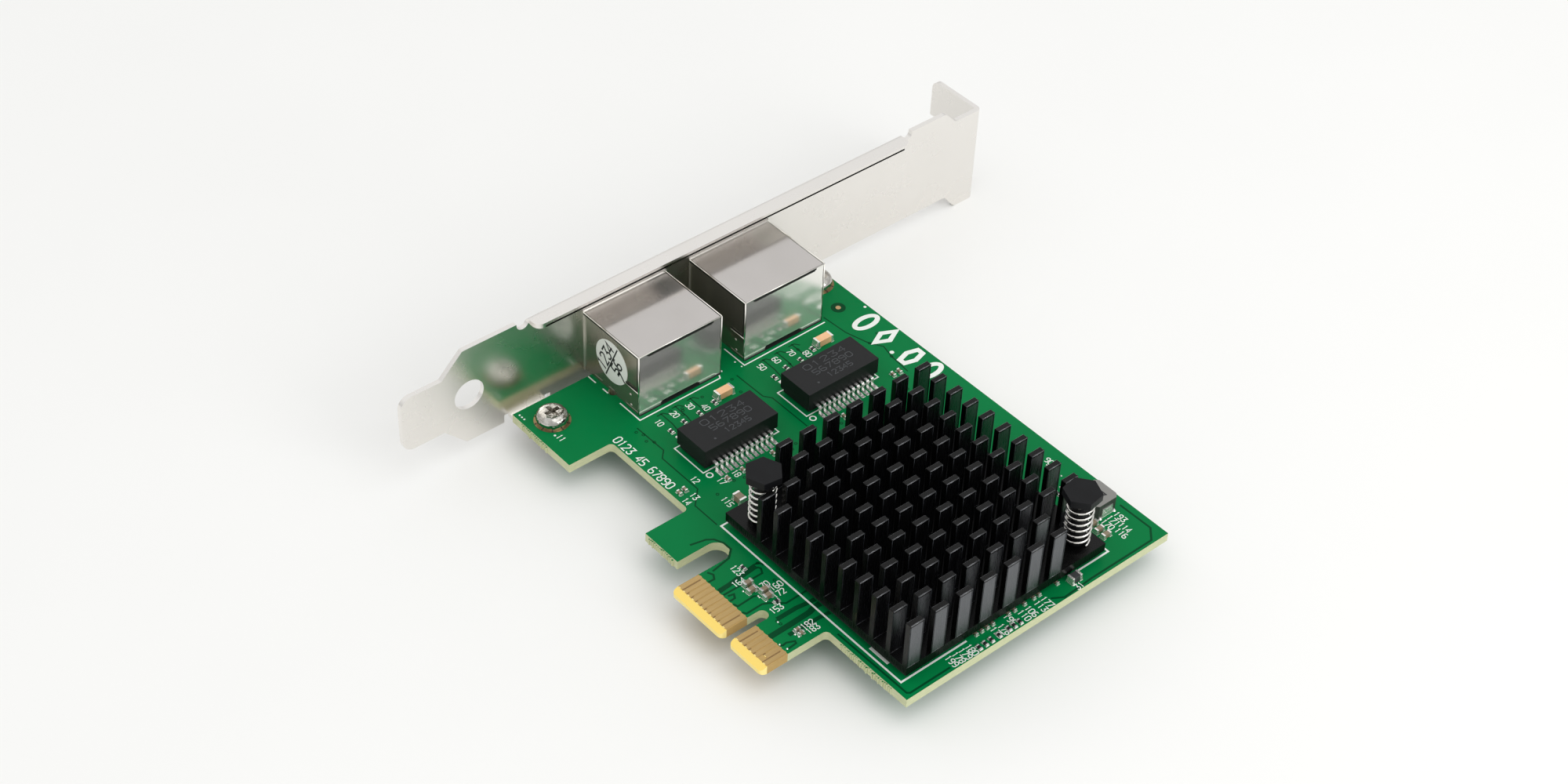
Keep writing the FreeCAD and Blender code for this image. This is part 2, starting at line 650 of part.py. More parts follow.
def transformer_lead_shapes(y0):
    middle = y0 + CASE_LEN / 2
    x_mid = CASE_X + CASE_W / 2
    for side in (-1, 1):
        wall = x_mid + side * CASE_W / 2
        for i in range(LEADS):
            y = middle + (i - (LEADS - 1) / 2) * LEAD_PITCH - LEAD_W / 2
            knee = wall + side * (LEAD_REACH - LEAD_FOOT)
            toe = wall + side * LEAD_REACH
            root = wall - side * LEAD_TUCK
            top, t = LEAD_Z, LEAD_T
            path = [(root, top), (knee - side * t, top), (knee, top - t), (knee, t), (toe, t),
                    (toe, 0), (knee - side * t, 0), (knee - side * t, top - t), (root, top - t)]
            yield prism([(x, y, z) for x, z in path], (0, LEAD_W, 0))


def transformer_leads(y0):
    return group(list(transformer_lead_shapes(y0)))


# Flat package of the network controller, with its corners chamfered
def controller_chip():
    half = CHIP_SIZE / 2
    x, y = sink_mid
    chip = box(x - half, x + half, y - half, y + half, 0, CHIP_T)
    edges = [e for e in chip.Edges if runs_along(e, Vector(0, 0, 1))]
    return chip.makeChamfer(CHIP_CHAMFER, edges)


def thermal_pad():
    half = PAD_SIZE / 2
    x, y = sink_mid
    return box(x - half, x + half, y - half, y + half, CHIP_T, SINK_FLOOR)


def fin_is_cut_away(row, column):
    low_corner = row < CORNER_ROWS and column < CORNER_COLUMNS
    high_corner = row >= FIN_ROWS - CORNER_ROWS and column >= FIN_COLUMNS - CORNER_COLUMNS
    return low_corner or high_corner


# Extruded base with cross-cut fins, cleared at two opposite corners for the push pins
def heatsink():
    x0, y0 = sink_x, sink_y
    base = box(x0, x0 + SINK_LEN, y0, y0 + SINK_W, SINK_FLOOR, sink_base_top)
    fin = box(0, FIN_T, 0, FIN_LEN, sink_base_top - JOIN, SINK_TOP)
    fin = round_edges(fin, FIN_EDGE_R, lambda e: edge_near(e, None, None, SINK_TOP))
    fins = []
    for row in range(FIN_ROWS):
        for column in range(FIN_COLUMNS):
            if fin_is_cut_away(row, column):
                continue
            one = fin.copy()
            one.translate(Vector(x0 + row * row_pitch, y0 + column * column_pitch, 0))
            fins.append(one)
    sink = base.multiFuse(fins)
    holes = [rod(x, y, PIN_R + PIN_HOLE_GAP, SINK_FLOOR - CUT, sink_base_top + CUT)
             for x, y, turn in pin_places]
    return sink.cut(group(holes))


# Spring-loaded pins with a hexagonal head and a split barb below the board
def push_pins():
    pins = []
    corner = PIN_HEAD_FLATS / math.sqrt(3)
    for x, y, turn in pin_places:
        ring = [(x + corner * math.cos(math.radians(turn + 60 * i)),
                 y + corner * math.sin(math.radians(turn + 60 * i)), PIN_HEAD_LOW)
                for i in range(6)]
        head = prism(ring, (0, 0, PIN_HEAD_T))
        shank = rod(x, y, PIN_R, board_low - JOIN, PIN_HEAD_LOW + JOIN)
        barb = Part.makeCone(PIN_TIP_R, PIN_BARB_R, PIN_BARB_H, Vector(x, y, board_low - PIN_BARB_H))
        split = box(x - PIN_SPLIT_W / 2, x + PIN_SPLIT_W / 2, y - PIN_BARB_R - CUT,
                    y + PIN_BARB_R + CUT, board_low - PIN_BARB_H - CUT, board_low - PIN_SPLIT_TOP)
        pins.append(union([head, shank, barb]).cut(split))
    return group(pins)


# Compression springs between the heatsink's base and the pin heads, each a wire wound in short runs
def push_pin_springs():
    springs = []
    low = sink_base_top + SPRING_WIRE / 2
    high = PIN_HEAD_LOW - SPRING_WIRE / 2
    runs = SPRING_TURNS * SPRING_STEPS
    for x, y, turn in pin_places:
        route = []
        for i in range(runs + 1):
            angle = 2 * math.pi * i / SPRING_STEPS
            route.append(Vector(x + SPRING_R * math.cos(angle), y + SPRING_R * math.sin(angle),
                                low + (high - low) * i / runs))
        start = route[0]
        first_run = route[1].sub(start)
        outward = Vector(1, 0, 0)
        upward = first_run.cross(outward).normalize()
        outward = upward.cross(first_run).normalize()
        corners = []
        for i in range(SPRING_SIDES):
            angle = 2 * math.pi * (i + 0.5) / SPRING_SIDES
            corners.append(start + outward * (SPRING_WIRE / 2 * math.cos(angle))
                           + upward * (SPRING_WIRE / 2 * math.sin(angle)))
        section = Part.makePolygon(corners + corners[:1])
        springs.append(Part.makePolygon(route).makePipeShell([section], True, False, 1))
    return group(springs)


# Moulded core of the inductor, with chamfered corners and two soldered terminals
def power_inductor():
    half = COIL_SIZE / 2
    core = box(coil_x - half, coil_x + half, coil_y - half, coil_y + half, COIL_PAD_T, COIL_H)
    edges = [e for e in core.Edges if runs_along(e, Vector(0, 0, 1))]
    return core.makeChamfer(COIL_CORNER, edges)


def inductor_terminals():
    half = COIL_SIZE / 2
    plates = []
    for side in (-1, 1):
        wall = coil_x + side * half
        out = wall + side * COIL_PAD_T
        low, high = min(wall, out), max(wall, out)
        upright = box(low, high, coil_y - COIL_PAD_W / 2, coil_y + COIL_PAD_W / 2, 0, COIL_PAD_H)
        inner = wall - side * COIL_PAD_FOOT
        foot = box(min(inner, out), max(inner, out), coil_y - COIL_PAD_W / 2,
                   coil_y + COIL_PAD_W / 2, 0, COIL_PAD_T)
        plates.append(union([upright, foot]))
    return group(plates)


# A chip part is a ceramic block with a plated cap on each end; on the solder side it hangs down
def chip_part(x, y, case, axis, back=False):
    length, width, height, cap = case
    half_l, half_w = length / 2, width / 2
    z0, z1 = (board_low - height, board_low) if back else (0, height)

    def along(start, end, half, low, high):
        if axis == "x":
            return box(x + start, x + end, y - half, y + half, low, high)
        return box(x - half, x + half, y + start, y + end, low, high)

    block = along(-half_l + cap, half_l - cap, half_w - END_PROUD, z0 + END_PROUD, z1 - END_PROUD)
    caps = [along(-half_l, -half_l + cap, half_w, z0, z1), along(half_l - cap, half_l, half_w, z0, z1)]
    return block, caps


def chip_parts(places, back=False):
    blocks, caps = [], []
    for x, y, case, axis in places:
        block, ends = chip_part(x, y, case, axis, back)
        blocks.append(block)
        caps += ends
    return blocks, caps


# Memory chip on the solder side, with four gull-wing leads on each long side
def memory_chip():
    top = board_low - FLASH_GAP
    case = box(FLASH_X - FLASH_LEN / 2, FLASH_X + FLASH_LEN / 2, FLASH_Y - FLASH_W / 2,
               FLASH_Y + FLASH_W / 2, top - FLASH_H, top)
    return case.cut(group(memory_lead_shapes()))


def memory_lead_shapes():
    leads = []
    for side in (-1, 1):
        wall = FLASH_Y + side * FLASH_W / 2
        for i in range(FLASH_LEADS):
            x = FLASH_X + (i - (FLASH_LEADS - 1) / 2) * FLASH_LEAD_PITCH - FLASH_LEAD_W / 2
            knee = wall + side * FLASH_KNEE
            toe = wall + side * FLASH_REACH
            root = wall - side * LEAD_TUCK
            t, z, face = LEAD_T, board_low - FLASH_LEAD_Z, board_low
            path = [(root, z), (knee - side * t, z), (knee, z + t), (knee, face - t),
                    (toe, face - t), (toe, face), (knee - side * t, face), (knee - side * t, z + t),
                    (root, z + t)]
            leads.append(prism([(x, y, level) for y, level in path], (FLASH_LEAD_W, 0, 0)))
    return leads


def solder_side_block(x, y, size):
    length, width, height = size
    return box(x - length / 2, x + length / 2, y - width / 2, y + width / 2,
               board_low - height, board_low)


def inspection_sticker():
    face = JACK_A_Y
    return Part.makeCylinder(STICKER_R, STICKER_T, Vector(STICKER_X, face - STICKER_T, STICKER_Z),
                             Vector(0, 1, 0))


def main():
    os.makedirs("parts", exist_ok=True)
    save("circuit_board", circuit_board())
    save("edge_contacts_front", edge_contacts(0, SHORT_FINGER_FRONT - 1))
    save("edge_contacts_back", edge_contacts(board_low, SHORT_FINGER_BACK))
    save("io_bracket", io_bracket())
    save("bracket_screws", bracket_screws())
    for name, y0 in zip(("left", "right"), jack_starts):
        save("jack_shield_" + name, jack_shield(y0))
        save("jack_housing_" + name, jack_housing(y0))
        save("jack_contacts_" + name, jack_contacts(y0))
        save("link_lights_" + name, link_lights(y0))
    for name, y0 in (("left", CASE_A_Y), ("right", CASE_A_Y + CASE_PITCH)):
        save("transformer_case_" + name, transformer_case(y0))
        save("transformer_leads_" + name, transformer_leads(y0))
    save("controller_chip", controller_chip())
    save("thermal_pad", thermal_pad())
    save("heatsink", heatsink())
    save("push_pins", push_pins())
    save("push_pin_springs", push_pin_springs())
    save("power_inductor", power_inductor())
    save("inductor_terminals", inductor_terminals())
    edge_capacitors = [(BOARD_LEN - EDGE_ROW_IN, y, CASE_0402, "x") for y in EDGE_CAPACITORS_Y]
    edge_resistors = [(BOARD_LEN - EDGE_ROW_OUT, y, CASE_FLAT, "x") for y in EDGE_RESISTORS_Y]
    turns = [2 * math.pi * i / BACK_RING_COUNT for i in range(BACK_RING_COUNT)]
    ring = [(sink_mid[0] + BACK_RING_R * math.cos(a), sink_mid[1] + BACK_RING_R * math.sin(a),
             CASE_0402, "x") for a in turns]
    capacitors = (CERAMIC_ON_BOARD + placed(CERAMIC_BY_TABS, TAB_X, 0)
                  + placed(CERAMIC_BY_COIL, coil_x, coil_y)
                  + placed(CERAMIC_BY_SINK, sink_x, sink_y) + edge_capacitors)
    resistors = (RESISTORS_ON_BOARD + placed(RESISTORS_BY_TABS, TAB_X, 0)
                 + placed(RESISTORS_BY_COIL, coil_x, coil_y) + edge_resistors)
    bead_place = (BOARD_LEN - BEAD_IN, BEAD_Y, CASE_0805, "y")
    orange, orange_caps = chip_parts(HIGH_VOLTAGE)
    ceramic, ceramic_caps = chip_parts(capacitors)
    under, under_caps = chip_parts(ring, back=True)
    black, black_caps = chip_parts(resistors)
    bead, bead_caps = chip_parts([bead_place])
    save("isolation_capacitors", group(orange))
    save("ceramic_capacitors", group(ceramic + under))
    save("chip_resistors", group(black))
    save("ferrite_bead", group(bead))
    save("capacitor_end_caps", group(orange_caps + ceramic_caps + under_caps))
    save("resistor_end_caps", group(black_caps + bead_caps))
    save("memory_chip", memory_chip())
    save("memory_chip_leads", group(memory_lead_shapes()))
    save("crystal", solder_side_block(CRYSTAL_X, CRYSTAL_Y, CRYSTAL_SIZE))
    save("voltage_regulator", solder_side_block(REGULATOR_X, REGULATOR_Y, REGULATOR_SIZE))
    save("inspection_sticker", inspection_sticker())


if __name__ == "__main__":
    main()
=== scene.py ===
import math
import random

import bmesh
import bpy
from mathutils import Matrix, Vector


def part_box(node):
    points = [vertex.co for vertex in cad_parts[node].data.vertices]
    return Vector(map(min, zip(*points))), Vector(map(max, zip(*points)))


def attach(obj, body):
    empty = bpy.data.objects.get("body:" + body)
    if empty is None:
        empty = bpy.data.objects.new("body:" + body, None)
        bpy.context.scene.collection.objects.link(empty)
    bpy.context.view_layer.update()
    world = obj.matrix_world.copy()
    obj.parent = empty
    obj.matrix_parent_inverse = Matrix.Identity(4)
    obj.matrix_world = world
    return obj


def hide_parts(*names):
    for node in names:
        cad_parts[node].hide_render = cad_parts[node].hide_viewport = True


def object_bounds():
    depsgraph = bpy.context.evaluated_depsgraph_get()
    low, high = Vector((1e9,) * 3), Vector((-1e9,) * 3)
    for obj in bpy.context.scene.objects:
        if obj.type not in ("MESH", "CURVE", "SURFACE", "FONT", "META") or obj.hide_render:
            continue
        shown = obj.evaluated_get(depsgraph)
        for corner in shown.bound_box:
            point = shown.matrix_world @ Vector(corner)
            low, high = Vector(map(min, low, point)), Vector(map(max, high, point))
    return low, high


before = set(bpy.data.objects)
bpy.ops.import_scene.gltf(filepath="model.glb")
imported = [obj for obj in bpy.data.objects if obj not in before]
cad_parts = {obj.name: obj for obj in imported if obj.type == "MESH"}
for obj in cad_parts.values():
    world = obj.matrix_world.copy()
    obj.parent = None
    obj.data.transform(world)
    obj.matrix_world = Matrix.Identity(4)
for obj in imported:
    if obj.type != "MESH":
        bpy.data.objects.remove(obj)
cad_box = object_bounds()

bl_info = {
    "name": "Network interface card",
    "version": (1, 0, 0),
    "blender": (4, 5, 0),
    "location": "3D View > Sidebar > Card",
    "description": "Finishes, solder, print and wiring of a two-port network card, with its stage",
    "category": "Object",
}

# The drawing of the card is in millimetres. It starts at the board's rear edge (x = 0), the
# lower edge line from which the card-edge tabs reach down (y = 0) and the component side (z = 0).
MM = 0.001
TAB_REACH = 12.4
board_low, board_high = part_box("circuit_board")
board_x = board_low.x
board_y = board_low.y + TAB_REACH * MM
board_t = (board_high.z - board_low.z) / MM

# How deep a raised shape starts below the surface that it lies on
SUNK = 0.01
# Below the lower edge line: where the mask ends, where the contacts end and the rear foot's edge
MASK_END = 7.37
CONTACT_END = 11.2
FOOT_DROP = 8.2
# From here on there is no mask below MASK_END
BARE_FROM = 43.9
# The fins: top, end of their lustre, how far down the top their rims are looked for, and foot
FIN_TOP = 11.15
LUSTRE_END = 10.65
FIN_REACH = 1.0
FIN_FOOT = 2.65
# Sockets of a mix node for colours: share of the second colour, both colours, and the result
SHARE, FIRST, SECOND, MIXED = 0, 6, 7, 2

# Strokes of the plain figures 0 to 9: column and row on a grid four wide and six high
FIGURES = {
    "0": "10 30 41 45 36 16 05 01 10",
    "1": "15 26 20",
    "2": "05 16 36 45 44 00 40",
    "3": "06 46 23 33 42 41 30 10 01",
    "4": "30 36 02 42",
    "5": "46 06 03 33 42 41 30 00",
    "6": "36 16 05 01 10 30 41 42 33 03",
    "7": "06 46 10",
    "8": "13 02 01 10 30 41 42 33 13 04 05 16 36 45 44 33",
    "9": "10 30 41 45 36 16 05 04 13 43",
}


def hex_colour(code):
    """Linear colour with alpha from an sRGB hex value."""
    parts = [int(code[i:i + 2], 16) / 255 for i in (1, 3, 5)]
    linear = [c / 12.92 if c <= 0.04045 else ((c + 0.055) / 1.055) ** 2.4 for c in parts]
    return (*linear, 1.0)


def colour_property(name, description, code):
    return bpy.props.FloatVectorProperty(
        name=name, description=description, size=4, subtype="COLOR", min=0.0, max=1.0,
        default=hex_colour(code))


def number_property(name, description, value, subtype="NONE", unit="NONE", least=0.0):
    return bpy.props.FloatProperty(
        name=name, description=description, default=value, subtype=subtype, unit=unit, min=least)


def length_property(name, description, millimetres):
    return number_property(name, description, millimetres * MM, "DISTANCE", "LENGTH")


def angle_property(name, description, degrees):
    return number_property(name, description, math.radians(degrees), "ANGLE", "ROTATION",
                           -math.tau)


class CardColours(bpy.types.PropertyGroup):
    """Colours of the card's finishes."""
    mask: colour_property("Solder mask", "Green mask over the copper", "#007C42")
    mask_dark: colour_property("Solder mask, bare", "Mask over bare laminate", "#004223")
    laminate: colour_property("Laminate", "Routed edge of the glass laminate", "#DCDCB6")
    gold: colour_property("Gold", "Plated card-edge contacts", "#CBAE7A")
    bevel: colour_property("Bevelled tip", "Laminate at the tabs' bevelled tips", "#FFEA98")
    nickel: colour_property("Nickel", "Plated bracket sheet", "#F0EDE9")
    shield: colour_property("Shield", "Tinned shields of the sockets", "#CBC7C4")
    heatsink: colour_property("Heatsink", "Black anodised fins", "#050505")
    epoxy: colour_property("Moulded epoxy", "Cases of transformers and chips", "#141517")
    ink: colour_property("Printed ink", "White printing on the board", "#F2F5F0")


class CardSizes(bpy.types.PropertyGroup):
    """Sizes of what is printed on the board and soldered to it."""
    ink_height: length_property("Ink height", "Thickness of the white printing", 0.03)
    line_width: length_property("Printed line", "Width of a printed outline", 0.22)
    figure_height: length_property("Figure height", "Height of the small printed figures", 1.05)
    figure_stroke: length_property("Figure stroke", "Width of a figure's stroke", 0.15)
    track_height: length_property("Track relief", "Step of the mask over a copper edge", 0.02)
    track_width: length_property("Track gap", "Width of a gap between copper areas", 0.22)
    solder_reach: length_property("Solder reach", "How far solder spreads past a part's end", 0.11)
    wire: length_property("Spring wire", "Diameter of the push-pin springs' wire", 0.42)


class StageSettings(bpy.types.PropertyGroup):
    """Floor, lights and camera."""
    floor: colour_property("Floor", "Plain pale floor", "#F4F4F2")
    key: number_property(
        "Overhead light", "Power of the overhead soft box", 1.2, "POWER", "POWER")
    side: number_property(
        "Side light", "Power of the soft box beside the board's front edge", 1.3, "POWER", "POWER")
    sky: number_property("Surroundings", "Strength of the light from straight above", 0.92)
    horizon: number_property("Horizon", "Strength of the light from the horizon", 0.6)
    lens: number_property("Lens", "Focal length on a 36 mm wide frame", 59.8, "DISTANCE_CAMERA",
                          "CAMERA", 1.0)
    azimuth: angle_property("Azimuth", "Turn of the view from the +Y direction towards -X", 47.63)
    elevation: angle_property("Elevation", "How steeply the camera looks down", 41.60)
    roll: angle_property("Roll", "Turn of the camera about its own axis", 2.85)


def on_board(x, y, z):
    """A place on the component side, z mm above it."""
    return Vector((board_x + x * MM, board_y + y * MM, z * MM))


def under_board(x, y, z):
    """A place on the solder side, z mm out from it."""
    return Vector((board_x + x * MM, board_y + y * MM, -(board_t + z) * MM))


def drawn(point):
    """The drawing's x, y and z in millimetres of a point in metres."""
    return ((point.x - board_x) / MM, (point.y - board_y) / MM, point.z / MM)


def boxes(places, keys, pairs):
    """Low and high corners of each group of places, which equal keys and pairs of keys join."""
    parent = {key: key for key in keys}

    def root(key):
        while parent[key] != key:
            parent[key] = parent[parent[key]]
            key = parent[key]
        return key

    for first, last in pairs:
        parent[root(first)] = root(last)
    groups = {}
    for key, place in zip(keys, places):
        groups.setdefault(root(key), []).append(place)
    return [(tuple(map(min, zip(*group))), tuple(map(max, zip(*group))))
            for group in groups.values()]


def solids_in(node):
    """Corner boxes, in drawing millimetres, of the separate solids in a node."""
    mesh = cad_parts[node].data
    keys = [tuple(round(c * 1e7) for c in v.co) for v in mesh.vertices]
    pairs = [[keys[i] for i in edge.vertices] for edge in mesh.edges]
    return sorted(boxes([drawn(v.co) for v in mesh.vertices], keys, pairs))


def fins_of(node):
    """x and y limits, in drawing millimetres, of each face of the fins that reaches their top.
    The mesh doesn't join its faces, so an upright face has the same limit twice."""
    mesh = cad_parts[node].data
    tops = {i: place for i, place in enumerate(drawn(v.co) for v in mesh.vertices)
            if place[2] > FIN_TOP - FIN_REACH}
    pairs = [edge.vertices for edge in mesh.edges if all(i in tops for i in edge.vertices)]
    return sorted((low[0], high[0], low[1], high[1])
                  for low, high in boxes(tops.values(), list(tops), pairs))


def sides_of(points, half, closed):
    """Both sides of a line of the given half width, with mitred corners."""
    left, right = [], []
    count = len(points)
    for i, point in enumerate(points):
        here = Vector(point)
        ways = []
        if closed or i:
            ways.append((here - Vector(points[i - 1])).normalized())
        if closed or i + 1 < count:
            ways.append((Vector(points[(i + 1) % count]) - here).normalized())
        along = sum(ways, Vector((0.0, 0.0))).normalized()
        across = Vector((-along.y, along.x))
        reach = half / max(0.5, along.dot(ways[0]))
        left.append(here + across * reach)
        right.append(here - across * reach)
    return left, right


def circle(x, y, radius, steps):
    """Points round a circle."""
    turns = [2 * math.pi * i / steps for i in range(steps)]
    return [(x + radius * math.cos(a), y + radius * math.sin(a)) for a in turns]


class Relief:
    """Raised shapes on one surface. place turns two distances along it and a height, in
    millimetres, into a point of the card."""

    def __init__(self, place):
        self.place = place
        self.bm = bmesh.new()

    def skin(self, rings):
        """A closed shape through rings of equally many points, each ring a list of (x, y, z)."""
        loops = [[self.bm.verts.new(self.place(*p)) for p in ring] for ring in rings]
        for low, high in zip(loops, loops[1:]):
            for i in range(len(low)):
                j = (i + 1) % len(low)
                self.bm.faces.new((low[i], low[j], high[j], high[i]))
        self.bm.faces.new(loops[0][::-1])
        self.bm.faces.new(loops[-1])

    def patch(self, outline, low, high):
        """A plate with the given outline."""
        self.skin([[(x, y, low) for x, y in outline], [(x, y, high) for x, y in outline]])

    def line(self, points, width, low, high):
        """A strip along an open line."""
        left, right = sides_of(points, width / 2, False)
        self.patch(left + right[::-1], low, high)

    def loop(self, points, width, low, high):
        """A strip along a closed line."""
        outer, inner = sides_of(points, width / 2, True)
        corners = []
        for (ox, oy), (ix, iy) in zip(outer, inner):
            spots = ((ox, oy, low), (ox, oy, high), (ix, iy, high), (ix, iy, low))
            corners.append([self.bm.verts.new(self.place(*spot)) for spot in spots])
        for here, there in zip(corners, corners[1:] + corners[:1]):
            for i in range(4):
                j = (i + 1) % 4
                self.bm.faces.new((here[i], here[j], there[j], there[i]))

    def ring(self, x, y, radius, width, low, high, steps=24):
        """A round strip."""
        self.loop(circle(x, y, radius, steps), width, low, high)

    def disc(self, x, y, radius, low, high, top_radius=None, steps=18):
        """A disc or, with another radius at its top, a cone."""
        top = radius if top_radius is None else top_radius
        self.skin([[(px, py, low) for px, py in circle(x, y, radius, steps)],
                   [(px, py, high) for px, py in circle(x, y, top, steps)]])

    def block(self, x0, x1, y0, y1, low, high, shrink=0.0):
        """A block whose top is smaller all round by shrink."""
        foot = [(x0, y0, low), (x1, y0, low), (x1, y1, low), (x0, y1, low)]
        top = [(x0 + shrink, y0 + shrink, high), (x1 - shrink, y0 + shrink, high),
               (x1 - shrink, y1 - shrink, high), (x0 + shrink, y1 - shrink, high)]
        self.skin([foot, top])

    def bar(self, start, end, radius, sides=8):
        """A round bar between two points."""
        first, last = Vector(start), Vector(end)
        along = (last - first).normalized()
        across = along.orthogonal().normalized()
        over = along.cross(across)
        self.skin([[tuple(point + across * u + over * v) for u, v in circle(0, 0, radius, sides)]
                   for point in (first, last)])

    def figures(self, text, x, y, height, stroke, low, high, turn=0.0, wide=0.8):
        """A row of plain figures that is centred on (x, y) and turned by an angle in degrees.
        wide is the width of the grid's columns as a share of its rows' height."""
        row = height / 6
        column = wide * row
        step = 5.4 * column
        start = -(len(text) * step - 1.4 * column) / 2
        cos, sin = math.cos(math.radians(turn)), math.sin(math.radians(turn))
        for i, mark in enumerate(text):
            if mark == " ":
                continue
            points = []
            for pair in FIGURES[mark].split():
                u = start + i * step + int(pair[0]) * column
                v = int(pair[1]) * row - height / 2
                points.append((x + u * cos - v * sin, y + u * sin + v * cos))
            if points[0] == points[-1]:
                self.loop(points[:-1], stroke, low, high)
            else:
                self.line(points, stroke, low, high)

    def finish(self, name, look, slot, smooth=False):
        """Makes the piece, which rides on the card, with the finish look in its one material slot.
        The argument slot is not used.
        """
        bmesh.ops.recalc_face_normals(self.bm, faces=self.bm.faces)
        mesh = bpy.data.meshes.new(name)
        self.bm.to_mesh(mesh)
        self.bm.free()
        for face in mesh.polygons:
            face.use_smooth = smooth
        mesh.materials.append(look)
        piece = bpy.data.objects.new(name, mesh)
        bpy.context.scene.collection.objects.link(piece)
        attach(piece, "root")
        return piece


def add(tree, kind, inputs=None, **settings):
    """Adds a shader node with its settings, and sets or links its inputs by name or number.
    A colour may be given as its hex value."""
    node = tree.nodes.new("ShaderNode" + kind)
    for key, value in settings.items():
        setattr(node, key, value)
    for key, value in (inputs or {}).items():
        if isinstance(value, bpy.types.NodeSocket):
            tree.links.new(value, node.inputs[key])
        else:
            colour = isinstance(value, str)
            node.inputs[key].default_value = hex_colour(value) if colour else value
    return node


def finish_called(name, **sockets):
    """A new material with one principled shader; returns the material, its tree and the shader.
    Underscores in the names of constant sockets stand for spaces."""
    look = bpy.data.materials.new(name)
    look.use_nodes = True
    tree = look.node_tree
    tree.nodes.clear()
    inputs = {key.replace("_", " "): value for key, value in sockets.items()}
    shader = add(tree, "BsdfPrincipled", inputs)
    add(tree, "OutputMaterial", {"Surface": shader.outputs["BSDF"]})
    return look, tree, shader


def axes(tree, kind, output):
    """The X, Y and Z of a place or a direction that a source node puts out."""
    source = add(tree, kind)
    return add(tree, "SeparateXYZ", {"Vector": source.outputs[output]}).outputs


def mottle(tree, size, detail=3.0, stretch=(1.0, 1.0, 1.0)):
    """Soft random pattern, 0 to 1, whose patches are size mm across."""
    coordinates = add(tree, "TexCoord")
    scaled = add(tree, "Mapping", {"Vector": coordinates.outputs["Object"], "Scale": stretch})
    noise = add(tree, "TexNoise",
                {"Vector": scaled.outputs["Vector"], "Scale": 1 / (size * MM), "Detail": detail})
    return noise.outputs["Fac"]


def roughen(tree, shader, pattern, height):
    """Raises the surface by height mm where the pattern is 1."""
    bump = add(tree, "Bump", {"Height": pattern, "Distance": height * MM, "Strength": 1.0})
    tree.links.new(bump.outputs["Normal"], shader.inputs["Normal"])


def vary(tree, shader, pattern, socket, low, high):
    """Lets a number of the shader run from low to high with the pattern."""
    spread = add(tree, "MapRange", {"Value": pattern, "From Min": 0.3, "From Max": 0.7,
                                    "To Min": low, "To Max": high})
    tree.links.new(spread.outputs["Result"], shader.inputs[socket])


def tint(tree, shader, pattern, first, second):
    """Lets the colour run from first to second with the pattern."""
    mixed = add(tree, "Mix", {SHARE: pattern, FIRST: first, SECOND: second}, data_type="RGBA")
    tree.links.new(mixed.outputs[MIXED], shader.inputs["Base Color"])


def masked_laminate(colours):
    """Glass-epoxy laminate with copper under a screened green solder mask. The mask is even and
    semi-gloss, a little mottled where the copper shows through, and the routed edges are pale
    and fibrous. The tabs have no mask, and their bevelled tips are bright yellow."""
    look, tree, shader = finish_called("solder_mask_on_glass_laminate", Roughness=0.34, IOR=1.52,
                                       Specular_IOR_Level=0.07)
    place = axes(tree, "TexCoord", "Object")
    facing = axes(tree, "NewGeometry", "True Normal")
    upright = add(tree, "Math", {0: facing["Z"]}, operation="ABSOLUTE").outputs[0]
    is_face = add(tree, "Math", {0: upright, 1: 0.5}, operation="GREATER_THAN")
    green = add(tree, "Mix", {SHARE: mottle(tree, 9.0), FIRST: colours.mask, SECOND: "#00703A"},
                data_type="RGBA")
    layers = mottle(tree, 0.25, 4.0, (0.25, 0.25, 1.6))
    edge = add(tree, "Mix", {SHARE: layers, FIRST: "#AEB88F", SECOND: colours.laminate},
               data_type="RGBA")
    skin = add(tree, "Mix", {SHARE: is_face.outputs[0], FIRST: edge.outputs[MIXED],
                             SECOND: green.outputs[MIXED]}, data_type="RGBA")
    below = add(tree, "Math", {0: place["Y"], 1: board_y - MASK_END * MM}, operation="LESS_THAN")
    beyond = add(tree, "Math", {0: place["X"], 1: board_x + BARE_FROM * MM},
                 operation="GREATER_THAN")
    on_tab = add(tree, "Math", {0: below.outputs[0], 1: beyond.outputs[0]}, operation="MULTIPLY")
    bare = add(tree, "Mix", {SHARE: mottle(tree, 0.6), FIRST: "#B0915A", SECOND: "#BFA168"},
               data_type="RGBA")
    at_tip = add(tree, "Math", {0: place["Y"], 1: board_y - CONTACT_END * MM},
                 operation="LESS_THAN")
    # Painted shade: on the tabs' tips, faces that look up are a deeper yellow than the bevel and
    # the edges
    bevel = add(tree, "Mix", {SHARE: upright, FIRST: colours.bevel, SECOND: "#F8D873"},
                data_type="RGBA")
    tab = add(tree, "Mix", {SHARE: at_tip.outputs[0], FIRST: bare.outputs[MIXED],
                            SECOND: bevel.outputs[MIXED]}, data_type="RGBA")
    tint(tree, shader, on_tab.outputs[0], skin.outputs[MIXED], tab.outputs[MIXED])
    vary(tree, shader, mottle(tree, 3.0), "Roughness", 0.3, 0.4)
    # The mask's orange peel is about 0.6 mm across
    roughen(tree, shader, mottle(tree, 0.6), 0.004)
    return look


def mask_over_laminate(name, colours):
    """The same mask where no copper lies under it: darker and a little sunken at its rims."""
    look, tree, shader = finish_called(name, Roughness=0.34, IOR=1.52, Specular_IOR_Level=0.07)
    tint(tree, shader, mottle(tree, 2.0), colours.mask_dark, "#004826")
    return look


def hard_gold(colours):
    """Hard gold electroplated over nickel on the card-edge contacts: satin and warm, with
    faint scratches along the way that the card slides in."""
    look, tree, shader = finish_called("hard_gold_plating", Metallic=1.0, Roughness=0.42)
    scratches = mottle(tree, 0.12, 2.0, (1.0, 0.05, 1.0))
    tint(tree, shader, scratches, colours.gold, "#C0A16A")
    vary(tree, shader, scratches, "Roughness", 0.36, 0.5)
    roughen(tree, shader, scratches, 0.003)
    return look


